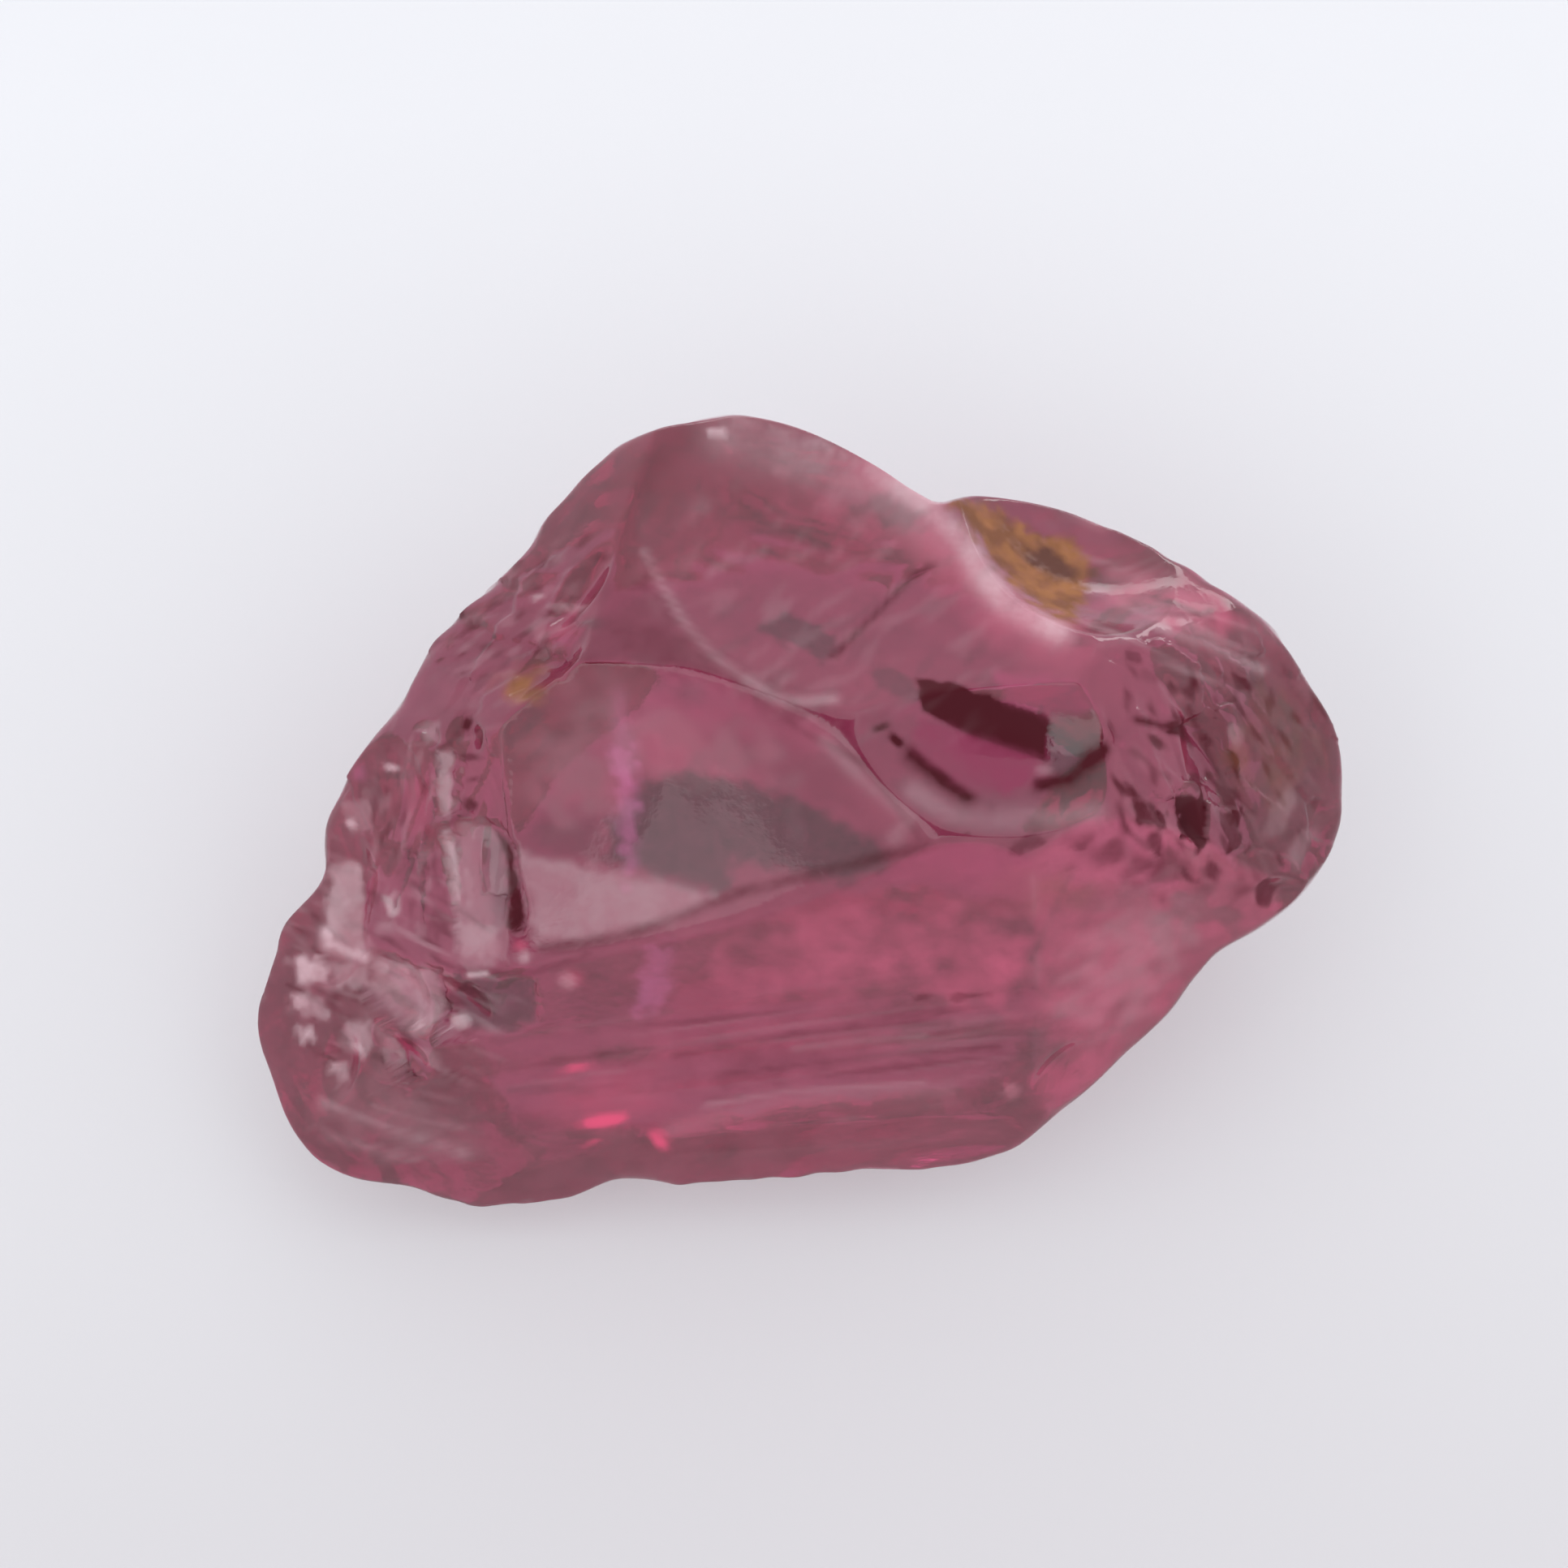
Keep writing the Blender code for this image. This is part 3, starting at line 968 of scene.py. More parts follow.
WASHES = (
    # The ochre crust in the valley at the back, with its brown core, and fainter stains elsewhere
    Patch(Wash.STAIN, STAINED_PART),
    Patch(
        Wash.DUSK_SHADE,
        Shard(
            ((2.66, 3.28), (2.97, 3.25), (3.34, 3.00), (3.30, 2.78), (2.97, 2.88), (2.70, 3.04)),
            0.2,
            0.1,
        ),
        0.9,
    ),
    Patch(Wash.STAIN, Blot((-3.38, 1.57), (0.42, 0.32), 15.0, 0.8, 0.5, 2.0), 1.0),
    Patch(Wash.STAIN, Blot((5.26, 0.66), (0.34, 0.26), 20.0, 0.9, 0.5, 2.0), 0.24),
    Patch(Wash.STAIN, Blot((5.80, 0.80), (0.70, 1.00), 0.0, 0.9, 0.5, 2.0), 0.18),
    Patch(Wash.STAIN, Blot((2.90, -0.95), (0.90, 0.36), -8.0, 0.9, 0.5, 2.0), 0.12),
    # The back lobe: hazy, with pale stripes, and dark stripes of painted shade
    Patch(Wash.MILK, Blot((4.80, 2.50), (0.90, 0.55), -25.0, 0.9, 0.4, 2.0), 0.9),
    Patch(Wash.DUSK_SHADE, Blot((3.70, 3.30), (1.90, 0.44), -30.0, 0.9, 0.5, 2.0), 0.42),
    Patch(Wash.MILK, Blot((3.70, 3.20), (1.70, 0.50), -30.0, 0.9, 0.5, 2.0), 0.5),
    Patch(Wash.MILK, Blot((4.10, 2.70), (1.30, 0.62), -20.0, 0.9, 0.4, 2.0), 0.6),
    Thread(Wash.BRUISE_AND_HIGHLIGHT, ((3.80, 2.88), (4.40, 2.70), (4.95, 2.46)), 0.12, 0.05),
    Thread(Wash.BRUISE_AND_HIGHLIGHT, ((3.84, 2.60), (4.50, 2.34), (4.95, 2.08)), 0.16, 0.1),
    Thread(Wash.BRUISE_AND_HIGHLIGHT, ((4.30, 2.24), (4.95, 2.02), (5.60, 1.74)), 0.07, 0.2),
    Veins(Wash.BRUISE_AND_HIGHLIGHT, Streaks(-20.0, 0.13, 1.4, 1.0, BACK_SIDE, 41.0), 0.14),
    Patch(Wash.DUSK_SHADE, Shard(((3.48, 3.04), (3.99, 2.80), (3.99, 2.68), (3.50, 2.75))), 0.6),
    Thread(Wash.DUSK_SHADE, ((4.28, 2.63), (4.83, 2.40), (4.96, 2.45)), 0.05, 0.6),
    Thread(Wash.SHADE, ((5.00, 1.74), (5.20, 1.58), (5.60, 1.58)), 0.05, 0.45),
    Thread(Wash.SHADE, ((3.90, 2.62), (4.25, 2.40), (4.80, 2.40)), 0.04, 0.35),
    # The shoulder: pale flakes, and dark pits of painted shade
    Patch(Wash.VIOLET, Blot((-2.85, 2.06), (0.22, 0.10), 10.0, 0.8, 0.6), 0.22),
    Patch(Wash.BRUISE_AND_HIGHLIGHT, Blot((-3.23, 2.62), (0.12, 0.07), 20.0, 0.8, 0.5), 0.45),
    Patch(Wash.BRUISE_AND_HIGHLIGHT, Blot((-2.85, 2.48), (0.36, 0.07), -4.0, 0.8, 0.5), 0.26),
    Patch(Wash.MILK, Blot((-3.00, 2.20), (0.62, 0.34), 10.0, 0.8, 0.6), 0.5),
    Patch(Wash.DUSK_SHADE, Blot((-2.58, 2.27), (0.24, 0.10), 0.0, 0.8, 0.5), 0.6),
    Patch(Wash.SHADE, Blot((-2.66, 3.31), (0.22, 0.09), 40.0, 0.8, 0.6), 0.45),
    Patch(Wash.SHADE, Blot((-2.39, 3.10), (0.26, 0.08), 10.0, 0.8, 0.6), 0.5),
    Patch(Wash.SHADE, Blot((-3.07, 3.04), (0.22, 0.10), 40.0, 0.8, 0.6), 0.4),
    Patch(Wash.SHADE, Blot((-3.45, 2.40), (0.20, 0.13), 30.0, 0.8, 0.6), 0.45),
    Patch(Wash.SHADE, Blot((-3.80, 2.56), (0.18, 0.14), 40.0, 0.8, 0.6), 0.35),
    Thread(Wash.SHADE, ((-4.10, 2.10), (-3.62, 1.86), (-3.10, 1.94), (-2.50, 1.84)), 0.08, 0.3),
    Veins(Wash.SHADE, Streaks(40.0, 0.13, 0.3, 1.0, SHOULDER, 51.0), 0.5),
    Veins(Wash.BRUISE_AND_HIGHLIGHT, Streaks(30.0, 0.13, 0.3, 1.0, SHOULDER, 53.0), 0.09),
    # The long plate, painted shade in the deep notch beside it, and a painted glint below it
    Patch(Wash.BRUISE_AND_HIGHLIGHT, LONG_PLATE, 0.14),
    Patch(
        Wash.DUSK_SHADE,
        Shard(
            ((-3.92, -0.14), (-3.62, -0.38), (-3.58, -1.36), (-3.72, -1.40), (-3.84, -0.80)),
            0.2,
        ),
        0.6,
    ),
    Patch(
        Wash.BRUISE_AND_HIGHLIGHT,
        Shard(((-4.24, -1.28), (-3.68, -1.40), (-3.66, -1.78), (-4.20, -1.80)), 0.24),
        0.26,
    ),
    Patch(
        Wash.BRUISE_AND_HIGHLIGHT,
        Shard(((-4.20, -0.66), (-4.06, -0.64), (-3.90, -1.20), (-4.12, -1.16)), 0.16),
        0.2,
    ),
    Thread(Wash.BRUISE_AND_HIGHLIGHT, ((-4.32, -0.26), (-4.24, -0.60), (-4.22, -1.10)), 0.06, 0.42),
    Patch(Wash.SHADE, LONG_NOTCH, 0.95),
    Patch(Wash.FLASH, Blot((-3.42, -1.62), (0.10, 0.10), 0.0, 0.8, 0.4, 2.0), 0.28),
    Patch(Wash.BRUISE_AND_HIGHLIGHT, Blot((-3.38, -1.76), (0.12, 0.16), -20.0, 1.0, 0.4, 2.0), 0.44),
    Thread(Wash.BRUISE_AND_HIGHLIGHT, ((-4.06, -1.98), (-3.86, -1.96)), 0.04, 0.4),
    # The pale plates and blocks of the crumbly side: bruised, with painted highlights
    Patch(Wash.BRUISE_AND_HIGHLIGHT, WHITE_PLATE, 0.34),
    Patch(Wash.BRUISE_AND_HIGHLIGHT, Blot((-5.62, -1.42), (0.30, 0.42), 0.0, 0.9, 0.5), 0.3),
    Thread(Wash.BRUISE_AND_HIGHLIGHT, ((-5.86, -1.50), (-5.84, -1.64), (-5.60, -1.72), (-5.40, -1.78)), 0.1, 0.6),
    Patch(Wash.BRUISE_AND_HIGHLIGHT, UPPER_BLOCK, 0.52),
    Patch(
        Wash.BRUISE_AND_HIGHLIGHT,
        Shard(((-5.92, -1.84), (-5.36, -1.86), (-5.30, -2.16), (-5.80, -2.16))),
        0.26,
    ),
    Patch(Wash.BRUISE_AND_HIGHLIGHT, LOWER_BLOCK, 0.26),
    Patch(Wash.BRUISE_AND_HIGHLIGHT, Blot((-6.22, -2.36), (0.15, 0.12), 0.0, 0.8, 0.4), 0.45),
    Patch(Wash.BRUISE_AND_HIGHLIGHT, TIP_BLOCK, 0.42),
    Patch(Wash.BRUISE_AND_HIGHLIGHT, BIG_PLATE, 0.26),
    Patch(Wash.BRUISE_AND_HIGHLIGHT, Blot((-4.98, -2.14), (0.34, 0.26), -20.0, 0.9, 0.6), 0.38),
    Patch(Wash.BRUISE_AND_HIGHLIGHT, Blot((-5.14, -1.92), (0.13, 0.16), 0.0, 0.8, 0.4), 0.42),
    Thread(Wash.BRUISE_AND_HIGHLIGHT, ((-5.26, -2.14), (-4.96, -2.48), (-4.74, -2.64)), 0.1, 0.32),
    Patch(Wash.BRUISE_AND_HIGHLIGHT, Blot((-4.72, -2.60), (0.17, 0.13), 30.0, 0.8, 0.4), 0.62),
    Patch(Wash.BRUISE_AND_HIGHLIGHT, Blot((-4.42, -2.68), (0.11, 0.10), 0.0, 0.8, 0.4), 0.52),
    Patch(Wash.BRUISE_AND_HIGHLIGHT, Blot((-4.20, -2.56), (0.17, 0.12), 10.0, 0.8, 0.5), 0.46),
    Patch(Wash.BRUISE_AND_HIGHLIGHT, GREY_BLOCK, 0.26),
    Patch(Wash.BRUISE_AND_HIGHLIGHT, Blot((-5.48, -2.90), (0.14, 0.11), -40.0, 0.8, 0.4), 0.48),
    Patch(Wash.BRUISE_AND_HIGHLIGHT, SPLINTER, 0.2),
    Patch(Wash.BRUISE_AND_HIGHLIGHT, SMALL_CHIP, 0.42),
    Patch(Wash.BRUISE_AND_HIGHLIGHT, HIGH_BLOCK, 0.16),
    Patch(Wash.BRUISE_AND_HIGHLIGHT, Blot((-5.55, -0.14), (0.13, 0.10), -40.0, 0.8, 0.4), 0.55),
    Patch(Wash.BRUISE_AND_HIGHLIGHT, HIGH_STRIP, 0.26),
    Patch(Wash.BRUISE_AND_HIGHLIGHT, HIGH_LUMP, 0.18),
    Patch(Wash.BRUISE_AND_HIGHLIGHT, Blot((-5.02, 0.54), (0.15, 0.07), -5.0, 0.8, 0.3), 0.5),
    Patch(
        Wash.BRUISE_AND_HIGHLIGHT,
        Shard(((-5.14, -1.04), (-5.02, -1.00), (-4.94, -1.28), (-5.10, -1.26))),
        0.5,
    ),
    Patch(Wash.BRUISE_AND_HIGHLIGHT, Blot((-5.12, -1.40), (0.18, 0.14), 0.0, 0.9, 0.5), 0.14),
    # The grey, violet and dark parts between them: painted shade, with painted violet and pink light
    Patch(Wash.DUSK_SHADE, SQUARE_PLATE, 0.75),
    Patch(Wash.SHADE, SQUARE_PLATE, 0.12),
    Thread(
        Wash.SHADE,
        ((-5.88, -2.46), (-5.76, -2.24), (-5.52, -2.12), (-5.28, -2.24), (-4.80, -2.80)),
        0.09,
        0.5,
    ),
    Patch(Wash.VIOLET, Blot((-5.46, 0.48), (0.14, 0.16), 0.0, 0.9, 0.4), 0.2),
    Patch(Wash.DUSK_SHADE, Blot((-5.00, 0.44), (0.26, 0.08), 0.0, 0.8, 0.4), 0.6),
    Patch(Wash.SHADE, Blot((-5.24, -1.10), (0.11, 0.09), 0.0, 0.9, 0.5), 0.35),
    Patch(
        Wash.FLASH,
        Shard(((-4.84, 0.40), (-4.50, 0.36), (-4.56, -0.30), (-4.80, -0.26)), 0.26),
        0.1,
    ),
    Patch(Wash.SHADE, Blot((-4.72, 0.15), (0.34, 0.52), 0.0, 0.9, 0.7, 2.0), 0.26),
    Patch(Wash.SHADE, Blot((-4.80, -0.68), (0.52, 0.22), 0.0, 0.9, 0.7, 2.0), 0.26),
    Patch(Wash.SHADE, Blot((-4.62, -1.45), (0.30, 0.22), 0.0, 0.9, 0.7, 2.0), 0.22),
    Patch(Wash.SHADE, Blot((-5.55, -3.20), (0.40, 0.30), 20.0, 0.9, 0.7, 2.0), 0.2),
    Veins(Wash.SHADE, Streaks(84.0, 0.12, 0.3, 1.0, FLANK, 47.0), 0.4),
    Veins(Wash.BRUISE_AND_HIGHLIGHT, Streaks(80.0, 0.12, 0.3, 1.0, FLANK, 49.0), 0.08),
    # Dark flecks beside the long plate, and painted shade in the seam under it
    Patch(Wash.SHADE, Blot((-4.08, 1.06), (0.11, 0.15), -20.0, 0.8, 0.4), 0.9),
    Patch(Wash.SHADE, Blot((-4.02, 0.66), (0.17, 0.08), 5.0, 0.8, 0.5), 0.6),
    Patch(Wash.SHADE, Blot((-4.00, 0.40), (0.16, 0.07), 5.0, 0.8, 0.5), 0.7),
    Patch(Wash.SHADE, Blot((-4.02, 0.08), (0.13, 0.09), -20.0, 0.8, 0.5), 0.65),
    Thread(Wash.SHADE, ((-4.48, 0.74), (-4.30, 0.84), (-4.18, 0.96)), 0.06, 0.4),
    Thread(Wash.SHADE, ((-4.34, -0.18), (-4.16, -0.04), (-4.00, 0.06)), 0.05, 0.4),
    Thread(
        Wash.SHADE,
        ((-4.20, -1.90), (-3.90, -1.94), (-3.30, -1.96), (-2.60, -1.72)),
        0.06,
        0.35,
    ),
    # The left tip: dull and milky, greyed with painted shade, with pale streaks
    Patch(Wash.DUSK_SHADE, Blot((-5.00, -3.80), (1.70, 0.90), -25.0, 0.9, 0.5, 2.0), 0.46),
    Patch(Wash.MILK, Blot((-5.00, -3.80), (1.60, 0.80), -25.0, 0.9, 0.5, 2.0), 0.56),
    Patch(Wash.BRUISE_AND_HIGHLIGHT, Blot((-5.00, -3.80), (1.50, 0.70), -25.0, 0.9, 0.6, 2.0), 0.06),
    Thread(Wash.BRUISE_AND_HIGHLIGHT, ((-5.95, -3.58), (-5.10, -3.90), (-4.12, -4.26)), 0.07, 0.16),
    Thread(Wash.BRUISE_AND_HIGHLIGHT, ((-5.90, -4.00), (-5.20, -4.20), (-4.40, -4.50)), 0.06, 0.12),
    Thread(Wash.BRUISE_AND_HIGHLIGHT, ((-5.30, -3.62), (-4.70, -3.80), (-4.20, -3.90)), 0.05, 0.1),
    Veins(Wash.SHADE, Streaks(-28.0, 0.11, 0.5, 1.0, TIP, 43.0), 0.42),
    Veins(Wash.BRUISE_AND_HIGHLIGHT, Streaks(-26.0, 0.11, 0.5, 1.0, TIP, 45.0), 0.12),
    # The top shell: the painted sheen along its edge and its crest
    Thread(
        Wash.BRUISE_AND_HIGHLIGHT,
        ((0.85, 4.15), (1.50, 3.72), (1.93, 3.28), (2.12, 2.92), (2.48, 2.50), (3.05, 2.18)),
        0.17,
        0.42,
    ),
    Thread(
        Wash.MILK,
        ((0.70, 4.05), (1.40, 3.55), (1.80, 3.00), (2.40, 2.35), (3.20, 2.00)),
        0.45,
        0.6,
    ),
    Thread(Wash.BRUISE_AND_HIGHLIGHT, ((-0.90, 4.62), (-0.04, 4.36), (1.00, 3.92), (1.80, 3.36)), 0.34, 0.17),
    Thread(Wash.DUSK_SHADE, ((-0.60, 4.40), (0.30, 4.10), (1.10, 3.70)), 0.3, 0.3),
    Patch(Wash.BRUISE_AND_HIGHLIGHT, Blot((0.40, 4.10), (1.30, 0.50), -22.0, 0.9, 0.6, 2.0), 0.15),
    Patch(Wash.MILK, Blot((0.60, 3.60), (1.60, 0.70), -24.0, 0.9, 0.6, 2.0), 0.4),
    Patch(Wash.BRUISE_AND_HIGHLIGHT, Blot((-1.08, 4.66), (0.20, 0.06), 8.0, 0.8, 0.5), 0.5),
    Thread(Wash.BRUISE_AND_HIGHLIGHT, ((-0.84, 4.80), (0.20, 4.50), (1.07, 4.02)), 0.07, 0.25),
    # The top shell: a painted highlight along its lower border, painted shade in the dark band under
    # it
    Thread(
        Wash.BRUISE_AND_HIGHLIGHT,
        ((-1.94, 3.15), (-1.71, 2.74), (-1.45, 2.30), (-1.06, 1.87), (-0.57, 1.49)),
        0.06,
        0.13,
    ),
    Thread(Wash.BRUISE_AND_HIGHLIGHT, ((-0.70, 1.60), (-0.30, 1.36), (0.00, 1.32), (0.36, 1.36)), 0.08, 0.17),
    Patch(
        Wash.SHADE,
        Shard(
            (
                (-1.90, 2.90), (-1.50, 2.30), (-0.60, 1.62), (0.30, 1.20), (-0.10, 1.04),
                (-1.00, 1.48), (-2.10, 1.76), (-2.40, 2.20),
            ),
            0.34,
            0.16,
        ),
        0.34,
    ),
    # The top shell: painted shade along its crack and in its grey patches, and its fine streaks
    Thread(Wash.SHADE, TOP_CRACK, 0.05, 0.62),
    Patch(
        Wash.DUSK_SHADE,
        Shard(
            ((-0.57, 2.19), (-0.24, 2.42), (0.36, 2.19), (0.41, 2.04), (0.25, 1.76), (-0.08, 1.98)),
            0.12,
            0.14,
        ),
        0.8,
    ),
    Patch(
        Wash.DUSK_SHADE,
        Shard(((0.50, 3.66), (1.00, 3.88), (1.52, 3.56), (1.40, 3.40), (0.95, 3.52)), 0.2, 0.16),
        0.7,
    ),
    Thread(Wash.DUSK_SHADE, ((-0.60, 3.42), (-0.10, 3.38), (0.30, 3.20)), 0.07, 0.6),
    Veins(Wash.DUSK_SHADE, Streaks(38.0, 0.17, 0.5, 1.0, TOP_MIDDLE, 37.0), 0.34),
    Veins(Wash.BRUISE_AND_HIGHLIGHT, Streaks(38.0, 0.17, 0.5, 1.0, TOP_MIDDLE, 39.0), 0.06),
    # The left shell: painted shade in its grey part, and its hazes
    Patch(Wash.DUSK_SHADE, GREY_PART, 0.9),
    Patch(Wash.SHADE, GREY_PART, 0.1),
    Patch(
        Wash.DUSK_SHADE,
        Shard(((-3.38, -0.10), (-2.40, -0.12), (-2.40, -0.64), (-3.24, -0.44)), 0.24),
        0.4,
    ),
    Patch(Wash.DUSK_SHADE, Blot((-1.45, 1.40), (0.90, 0.28), -20.0, 0.8, 0.6), 0.5),
    Patch(Wash.DUSK_SHADE, Blot((-1.10, 0.90), (1.60, 0.66), -20.0, 0.9, 0.6), 0.3),
    Patch(Wash.BRUISE_AND_HIGHLIGHT, Blot((-1.60, 0.80), (1.90, 0.80), -20.0, 0.9, 0.6), 0.06),
    Patch(Wash.MILK, Blot((-1.60, 0.70), (2.10, 1.05), -12.0, 0.8, 0.3, 2.0), 0.52),
    Patch(Wash.MILK, Blot((-2.60, 0.50), (1.20, 1.20), 0.0, 0.9, 0.4, 2.0), 0.6),
    Patch(Wash.DUSK_SHADE, Blot((-2.60, 0.60), (1.10, 1.00), 0.0, 0.9, 0.6, 2.0), 0.46),
    Patch(Wash.BRUISE_AND_HIGHLIGHT, Blot((-2.60, 0.50), (1.10, 1.00), 0.0, 0.9, 0.6, 2.0), 0.06),
    # The left shell: its pale lower corner, and painted shade and a pale edge along its borders
    Patch(
        Wash.BRUISE_AND_HIGHLIGHT,
        Shard(
            (
                (-3.43, -0.48), (-2.84, -0.60), (-1.97, -0.77), (-1.08, -1.02), (-1.57, -1.31),
                (-2.40, -1.46), (-3.23, -1.58),
            ),
            0.2,
        ),
        0.2,
    ),
    Thread(Wash.BRUISE_AND_HIGHLIGHT, ((0.25, 0.86), (0.70, 0.40), (1.25, -0.08), (1.10, -0.30)), 0.1, 0.12),
    Thread(
        Wash.SHADE,
        (
            (-3.16, -1.64), (-2.81, -1.61), (-2.25, -1.52), (-1.68, -1.32), (-0.78, -0.97),
            (0.31, -0.70), (1.47, -0.39),
        ),
        0.09,
        0.5,
    ),
    Patch(Wash.SHADE, Blot((-2.40, -1.52), (0.40, 0.10), 8.0, 0.8, 0.8), 0.4),
    Patch(Wash.SHADE, Blot((-1.20, -1.12), (0.50, 0.10), 20.0, 0.8, 0.8), 0.35),
    Thread(Wash.SHADE, ((-0.83, 1.50), (-0.10, 1.02), (0.72, 0.58), (1.36, -0.27)), 0.07, 0.35),
    # The violet streak, a painted reflection, that runs down the left shell and the front face
    Patch(
        Wash.VIOLET,
        Shard(
            ((-2.30, 0.80), (-2.04, 0.80), (-2.02, -0.70), (-2.12, -0.90), (-2.22, -0.50)),
            0.2,
            0.14,
        ),
        0.36,
    ),
    Thread(Wash.VIOLET, ((-2.22, 1.40), (-2.18, 0.60)), 0.09, 0.14),
    Patch(
        Wash.VIOLET,
        Shard(((-1.92, -1.68), (-1.60, -1.62), (-1.66, -2.30), (-2.04, -2.50)), 0.2, 0.14),
        0.24,
    ),
    # The spoon's painted dark reflection: the bar across it with its grey ends, and its magenta floor
    Patch(
        Wash.SHADE,
        Shard(
            (
                (1.34, 1.62), (1.84, 1.54), (2.34, 1.36), (2.94, 1.16), (2.90, 0.62), (2.00, 0.92),
                (1.42, 1.22),
            ),
            0.1,
            0.03,
        ),
        1.0,
    ),
    Patch(
        Wash.DUSK_SHADE,
        Shard(((2.92, 1.10), (3.19, 1.01), (3.48, 0.69), (3.21, 0.35), (3.01, 0.45), (2.88, 0.74))),
        0.85,
    ),
    Patch(
        Wash.DUSK_SHADE,
        Shard(
            ((0.81, 1.77), (1.11, 1.74), (1.44, 1.52), (1.50, 1.26), (1.06, 1.39), (0.81, 1.57)),
            0.16,
        ),
        0.65,
    ),
    Patch(Wash.BRUISE_AND_HIGHLIGHT, Blot((2.89, 0.50), (0.18, 0.10), 0.0, 0.6), 0.16),
    Patch(Wash.FLASH, SPOON_FLOOR, 0.1),
    Patch(Wash.VIOLET, SPOON_FLOOR, 0.12),
    Patch(Wash.SHADE, SPOON_FLOOR, 0.44),
    Patch(Wash.FLASH, SPOON_BACK, 0.1),
    Patch(Wash.VIOLET, SPOON_BACK, 0.12),
    Patch(Wash.SHADE, SPOON_BACK, 0.16),
    # The spoon: dark arcs of painted shade under the bar, a pale band of painted highlight, and
    # flecks
    Patch(Wash.SHADE, Blot((0.91, 1.01), (0.16, 0.08), 20.0, 0.7, 0.3), 0.75),
    Patch(Wash.SHADE, Blot((1.10, 0.86), (0.20, 0.11), -38.0, 0.7, 0.3), 0.95),
    Thread(Wash.SHADE, ((1.30, 0.70), (1.60, 0.46), (1.96, 0.19)), 0.13, 0.95),
    Thread(Wash.SHADE, ((2.84, 0.34), (3.20, 0.40), (3.60, 0.76)), 0.11, 0.95),
    Thread(
        Wash.BRUISE_AND_HIGHLIGHT,
        ((1.33, 0.25), (1.69, 0.01), (2.17, -0.09), (2.88, -0.07), (3.48, 0.01)),
        0.15,
        0.13,
    ),
    Patch(Wash.SHADE, Blot((1.96, -0.25), (0.07, 0.05), 0.0, 0.5), 0.45),
    Patch(Wash.SHADE, Blot((2.56, -0.46), (0.10, 0.06), 0.0, 0.5), 0.45),
    Patch(Wash.SHADE, Blot((3.30, -0.42), (0.22, 0.10), -10.0, 0.6, 0.9), 0.5),
    Patch(Wash.SHADE, Blot((3.76, -0.56), (0.14, 0.10), -10.0, 0.6, 0.9), 0.45),
    # The right lobe and the right end: dark flecks and grey patches of painted shade, and pale
    # stripes
    Patch(Wash.SHADE, Blot((3.99, 1.87), (0.13, 0.10), 0.0, 0.5, 0.8), 0.55),
    Patch(Wash.SHADE, Blot((3.53, 2.24), (0.08, 0.07), 0.0, 0.5, 0.8), 0.65),
    Patch(Wash.SHADE, Blot((4.20, 1.62), (0.28, 0.12), -10.0, 0.9, 0.9), 0.28),
    Thread(Wash.SHADE, ((4.01, 1.12), (4.35, 1.04)), 0.06, 0.8),
    Patch(Wash.SHADE, Blot((4.46, 1.00), (0.19, 0.15), 0.0, 0.5, 0.8), 0.85),
    Patch(
        Wash.SHADE,
        Shard(((3.92, 0.36), (4.08, 0.10), (4.36, -0.02), (4.30, -0.22), (3.98, -0.12)), 0.1, 0.12),
        0.75,
    ),
    Patch(
        Wash.SHADE,
        Shard(((4.44, 0.18), (4.86, 0.24), (4.88, -0.48), (4.56, -0.34)), 0.09, 0.12),
        1.0,
    ),
    Patch(
        Wash.SHADE,
        Shard(((4.94, 0.00), (5.30, 0.02), (5.42, -0.42), (5.14, -0.50)), 0.09, 0.14),
        0.8,
    ),
    Patch(Wash.BRUISE_AND_HIGHLIGHT, Blot((5.90, 0.06), (0.16, 0.50), -38.0, 1.0, 0.9, 2.0), 0.13),
    Patch(Wash.BRUISE_AND_HIGHLIGHT, Blot((6.16, -0.34), (0.16, 0.46), -38.0, 1.0, 0.9, 2.0), 0.12),
    Patch(Wash.SHADE, Blot((4.10, -0.62), (1.90, 0.32), -15.0, 0.9, 0.8, 2.0), 0.46),
    Patch(Wash.SHADE, Blot((4.10, -0.62), (0.60, 0.13), -14.0, 0.6, 0.9), 0.5),
    Patch(Wash.SHADE, Blot((2.80, -0.36), (0.40, 0.12), -4.0, 0.6, 0.9), 0.45),
    Patch(Wash.SHADE, Blot((5.66, -0.98), (0.15, 0.20), -20.0, 0.5, 0.8), 0.75),
    Patch(Wash.DUSK_SHADE, Blot((5.80, 0.94), (0.45, 0.55), 0.0, 0.8), 0.45),
    Patch(Wash.DUSK_SHADE, Blot((4.76, -1.21), (0.70, 0.22), -15.0, 0.6), 0.45),
    Patch(Wash.DUSK_SHADE, Blot((3.33, 2.06), (0.22, 0.14), 0.0, 0.6), 0.45),
    Thread(Wash.SHADE, ((4.66, 1.26), (4.96, 0.62), (5.22, 0.10)), 0.06, 0.6),
    Patch(Wash.BRUISE_AND_HIGHLIGHT, Blot((5.24, 0.98), (0.12, 0.20), 10.0, 1.0, 0.8, 2.0), 0.14),
    Veins(Wash.SHADE, Streaks(-58.0, 0.15, 0.34, 1.0, RIGHT_SIDE, 33.0), 0.72),
    Veins(Wash.BRUISE_AND_HIGHLIGHT, Streaks(-58.0, 0.14, 0.45, 1.0, RIGHT_SIDE, 35.0), 0.03),
    # The front face: milky above, and darker below with painted shade
    Patch(Wash.MILK, Blot((0.80, -1.70), (3.60, 1.00), 8.0, 0.9, 0.3, 2.0), 0.72),
